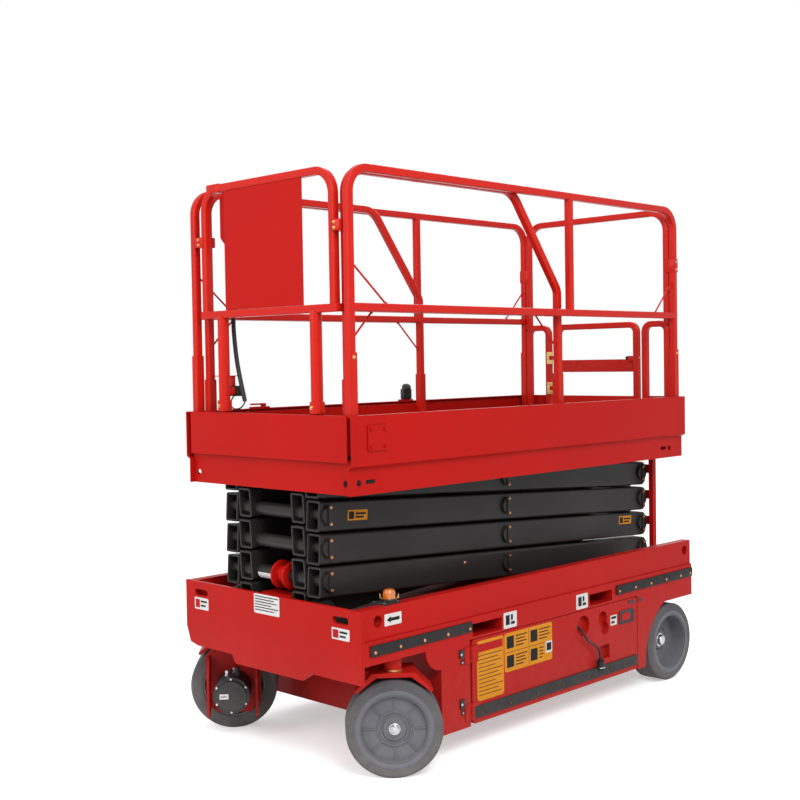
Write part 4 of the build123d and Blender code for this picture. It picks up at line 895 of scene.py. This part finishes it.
toe_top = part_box("platform_skirt")[1].z
toe_y = -platform_side + 0.010
slide_latch = joined([
    block((0.715, toe_y - 0.009, toe_top), (0.825, toe_y + 0.009, toe_top + 0.007), 0.002),
    block((0.735, toe_y - 0.007, toe_top + 0.006), (0.760, toe_y + 0.007, toe_top + 0.022), 0.003),
    block((0.750, toe_y - 0.008, toe_top + 0.014), (0.822, toe_y + 0.008, toe_top + 0.022), 0.003)])
fitted(slide_latch, "slide_latch", "platform", rail_red)
outlet_base = painted(block((-0.236, toe_y - 0.009, toe_top),
                            (-0.140, toe_y + 0.009, toe_top + 0.008), 0.002), rail_red)
outlet_case = painted(block((-0.220, toe_y - 0.010, toe_top + 0.008),
                            (-0.158, toe_y + 0.016, toe_top + 0.062), 0.006, 3), black_plastic)
outlet_lid = aim(painted(turned(((0.023, 0), (0.023, 0.008), (0.020, 0.012), (0.012, 0.014)), 28),
                         black_plastic),
                 (-0.182, toe_y + 0.012, toe_top + 0.066), (0.35, 0.45, 0.8))
fitted(joined([outlet_base, outlet_case, outlet_lid]), "deck_outlet", "platform")

# %% [markdown]
# ## Wheels and motors
# A castle nut on a washer holds each front wheel, locked by a split pin through its crown; the rear hubs
# carry a domed dust cap on a washer. A thin light bead runs round each rim where it meets the tyre. The
# bead and the nut ride on the wheel, so they turn with it.

# %% Nuts, caps and rim beads
wheel_height = 0.1905
steer_sine, steer_cosine = 0.66913, 0.74314  # of the 42 degrees by which the front wheels are turned
kingpin_x, kingpin_y, kingpin_top = 0.950, 0.500, 0.409
rear_axle_x, rear_hub_y = -0.965, 0.489
bead_out = 0.0632  # from the middle of a wheel to its rim bead
screw_circle = 0.071  # radius of the ring of screws on a motor's end cap


def bead_ring(radius, wire, rings=56, sides=8):
    """Thin ring about Z with a round section."""
    choose()
    bpy.ops.mesh.primitive_torus_add(major_radius=radius, minor_radius=wire, major_segments=rings,
                                     minor_segments=sides)
    return bpy.context.object


front_nut = joined([make_castle_nut(0.036, 0.014, 0.010),
                    turned(((0.023, -0.002), (0.023, 0.0006), (0.0222, 0.0012)), 28)])
rear_cap = turned(((0.034, -0.011), (0.034, -0.0085), (0.026, -0.0080), (0.026, 0.004), (0.0235, 0.0075),
                   (0.014, 0.0095), (0.013, 0.0095)), 32)
bead = bead_ring(0.1440, 0.0100)
bead.scale.z = 0.25
choose(bead)
bpy.ops.object.transform_apply(location=False, rotation=False, scale=True)
for side, hand in ((1, "left"), (-1, "right")):
    axle = Vector((side * steer_sine, side * steer_cosine, 0))
    centre = Vector((kingpin_x, side * kingpin_y, wheel_height))
    wheel = f"wheel_front_{hand}"
    nut = set_out(front_nut, [(centre + axle * 0.0515, axle)])
    fitted(nut, f"castle_nut_{hand}", wheel, bright_steel)
    ring = set_out(bead, [(centre + axle * bead_out, axle)])
    fitted(ring, f"rim_bead_front_{hand}", wheel, wheel_grey, 60)
    out = (0, side, 0)
    centre = Vector((rear_axle_x, side * rear_hub_y, wheel_height))
    cap = set_out(rear_cap, [(centre + Vector(out) * 0.011, out)])
    fitted(cap, f"hub_cap_{hand}", f"wheel_rear_{hand}", bright_steel)
    ring = set_out(bead, [(centre + Vector(out) * bead_out, out)])
    fitted(ring, f"rim_bead_rear_{hand}", f"wheel_rear_{hand}", wheel_grey, 60)
    bush = aim(turned(((0.0365, 0), (0.0365, 0.006)), 36), (kingpin_x, side * kingpin_y, kingpin_top), (0, 0, 1))
    fitted(bush, f"kingpin_bush_{hand}", "chassis", gold_zinc)
scrap(front_nut, rear_cap, bead)

# %% [markdown]
# The drive motors are bolted cans. Each end cap is held by six screws, with a hose fitting and a short black
# cable gland on top; a blank white sticker marks the front half of the cap.

# %% Motor screws, fittings and stickers
screw = turned(((0.0052, 0), (0.0052, 0.0038), (0.0040, 0.0048), (0.0030, 0.0048), (0.0026, 0.0030)), 14)
fitting = turned(((0.0085, 0), (0.0085, 0.006), (0.0065, 0.0065), (0.0065, 0.014), (0.0078, 0.0145),
                  (0.0078, 0.020), (0.0055, 0.024)), 6)
for side, hand in ((1, "left"), (-1, "right")):
    inward = Vector((-side * steer_sine, -side * steer_cosine, 0))
    across = Vector((-inward.y, inward.x, 0)) * side
    cap_face_centre = Vector((0.950 + side * -0.1685, side * 0.3129, wheel_height))
    can_face = cap_face_centre - inward * 0.014
    screws = set_out(screw, [
        (can_face + across * screw_circle * math.cos(a) + Vector((0, 0, screw_circle * math.sin(a))), inward)
        for a in (math.radians(30 + 60 * step) for step in range(6))])
    fitted(screws, f"motor_screws_{hand}", f"steer_{hand}", bright_steel)
    top = cap_face_centre - inward * 0.055 + Vector((0, 0, 0.0765))
    fittings = set_out(fitting, [(top + across * 0.020, (0, 0, 1)),
                                 (top - inward * 0.045 - across * 0.008, (0, 0, 1))])
    fitted(fittings, f"motor_fittings_{hand}", f"steer_{hand}", bright_steel)
    gland = aim(turned(((0.013, -0.002), (0.013, 0.010), (0.0105, 0.011), (0.0080, 0.026),
                        (0.0075, 0.034)), 20),
                top - inward * 0.012 - across * 0.024, (0, 0, 1))
    fitted(gland, f"motor_gland_{hand}", f"steer_{hand}", strip_rubber)
    sticker(f"motor_sticker_{hand}", f"steer_{hand}", cap_face_centre + across * 0.030, inward,
            (0.038, 0.022), label_white, ((-0.015, -0.002, 0.012, 0.002, label_black),))
scrap(screw, fitting)

# %% [markdown]
# ## Cables
# Three flexible runs hang on the machine: the charger's lead with its plug, the corrugated conduit that
# comes down from the control box, and the thin cable that loops out below it. Each is a smooth curve
# through the route that the designer laid, with a round section.


# %% Cables
def cable(name, body, node, route, diameter, material):
    """Round cable on a smooth NURBS line through a route in metres."""
    data = bpy.data.curves.new(name, "CURVE")
    data.dimensions = "3D"
    spline = data.splines.new("NURBS")
    spline.points.add(len(route) - 1)
    for point, place in zip(spline.points, route):
        point.co = (*place, 1.0)
    spline.order_u = 3
    spline.use_endpoint_u = True
    spline.resolution_u = 10
    data.bevel_depth = diameter / 2
    data.bevel_resolution = 4
    data.use_fill_caps = True
    data.materials.append(material)
    run = bpy.data.objects.new(name, data)
    scene.collection.objects.link(run)
    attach(run, body)
    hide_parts(node)
    return run


def line_of(run):
    """Points along a cable's smooth line."""
    bare = run.data.copy()
    bare.bevel_depth = 0.0
    holder = bpy.data.objects.new("line", bare)
    scene.collection.objects.link(holder)
    bpy.context.view_layer.update()
    mesh = bpy.data.meshes.new_from_object(holder)
    points = [vertex.co.copy() for vertex in mesh.vertices]
    bpy.data.objects.remove(holder)
    return points


lead_route = ((-0.212, 0.530, 0.384), (-0.207, 0.556, 0.379), (-0.207, 0.577, 0.360), (-0.219, 0.584, 0.331),
              (-0.250, 0.582, 0.311), (-0.283, 0.580, 0.297), (-0.311, 0.577, 0.280), (-0.327, 0.576, 0.257),
              (-0.331, 0.576, 0.228))
conduit_route = ((1.062, -0.242, 2.0867), (1.062, -0.242, 2.027), (1.068, -0.266, 1.950),
                 (1.078, -0.286, 1.870), (1.084, -0.290, 1.790), (1.084, -0.280, 1.690),
                 (1.084, -0.262, 1.585), (1.084, -0.220, 1.456))
loop_route = ((1.084, -0.2191, 1.4533), (1.084, -0.234, 1.434), (1.084, -0.262, 1.422),
              (1.084, -0.298, 1.421), (1.084, -0.318, 1.436), (1.083, -0.316, 1.462),
              (1.080, -0.296, 1.478))
charger_lead = cable("charger_cable", "door_left", "charger_lead", lead_route, 0.010, cable_black)
conduit_run = cable("control_conduit", "extension", "conduit", conduit_route, 0.018, black_plastic)
loop_run = cable("control_loop", "extension", "control_cable", loop_route, 0.006, cable_black)

boot = aim(turned(((0.0125, -0.004), (0.0125, 0.003), (0.0095, 0.005), (0.0070, 0.018), (0.0058, 0.026)), 24),
           lead_route[0], Vector(lead_route[1]) - Vector(lead_route[0]))
fitted(boot, "charger_boot", "door_left", strip_rubber)
plug_axis = Vector((-0.1366, 0, -0.9906))
plug_end = Vector(lead_route[-1]) + plug_axis * 0.052
pin = turned(((0.0024, 0), (0.0024, 0.0080), (0.0018, 0.0095)), 12)
pins = set_out(pin, [(plug_end - plug_axis * 0.011 + turn, plug_axis) for turn in
                     (Vector((0.006, 0.003, 0)), Vector((-0.006, 0.003, 0)), Vector((0, -0.006, 0)))])
scrap(pin)
collar = aim(turned(((0.0178, 0), (0.0178, 0.004), (0.0174, 0.0045)), 28),
             plug_end - plug_axis * 0.012, plug_axis)
plug_trim = joined([pins, collar])
fitted(plug_trim, "plug_pins", "door_left", bright_steel)

conduit_line = line_of(conduit_run)
rib = bead_ring(0.0088, 0.0016, 14, 6)
ribs = []
gone, step = 0.0, 0.0058
for start, end in zip(conduit_line, conduit_line[1:]):
    run = (end - start).length
    while gone < run:
        ribs.append((start + (end - start) * gone / run, end - start, (0, 1, 0)))
        gone += step
    gone -= run
conduit_ribs = set_out(rib, ribs[1:-1])
scrap(rib)
fitted(conduit_ribs, "conduit_ribs", "extension", black_plastic, 60)
print("conduit ribs", len(ribs))

# %% [markdown]
# At the foot of the conduit its thin cable ends in a small black box. A red bracket carries the box on the
# post of the front hoop, and a thin red shelf above keeps it from knocks. Higher up, a square sleeve
# joins the two halves of the hoop's top rail.

# %% Cable box, shelf and rail sleeve
cable_box = block((1.045, -0.330, 1.476), (1.0835, -0.272, 1.520), 0.004, 3)
fitted(cable_box, "cable_box", "extension", black_plastic)
shelf = joined([block((1.058, -0.416, 1.560), (1.098, -0.298, 1.564), 0.0012),
                block((1.066, -0.322, 1.518), (1.086, -0.304, 1.562), 0.0015),
                block((1.082, -0.310, 1.482), (1.111, -0.284, 1.514), 0.003)])
fitted(shelf, "cable_shelf", "extension", rail_red)
top_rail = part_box("extension_rail_front")[1].z - 0.016
rail_sleeve = block((1.1135, -0.372, top_rail - 0.0185), (1.1505, -0.288, top_rail + 0.0185), 0.003)
fitted(rail_sleeve, "hoop_sleeve", "extension", rail_red)

# %% Remove the masters
scrap(bolt, rivet)
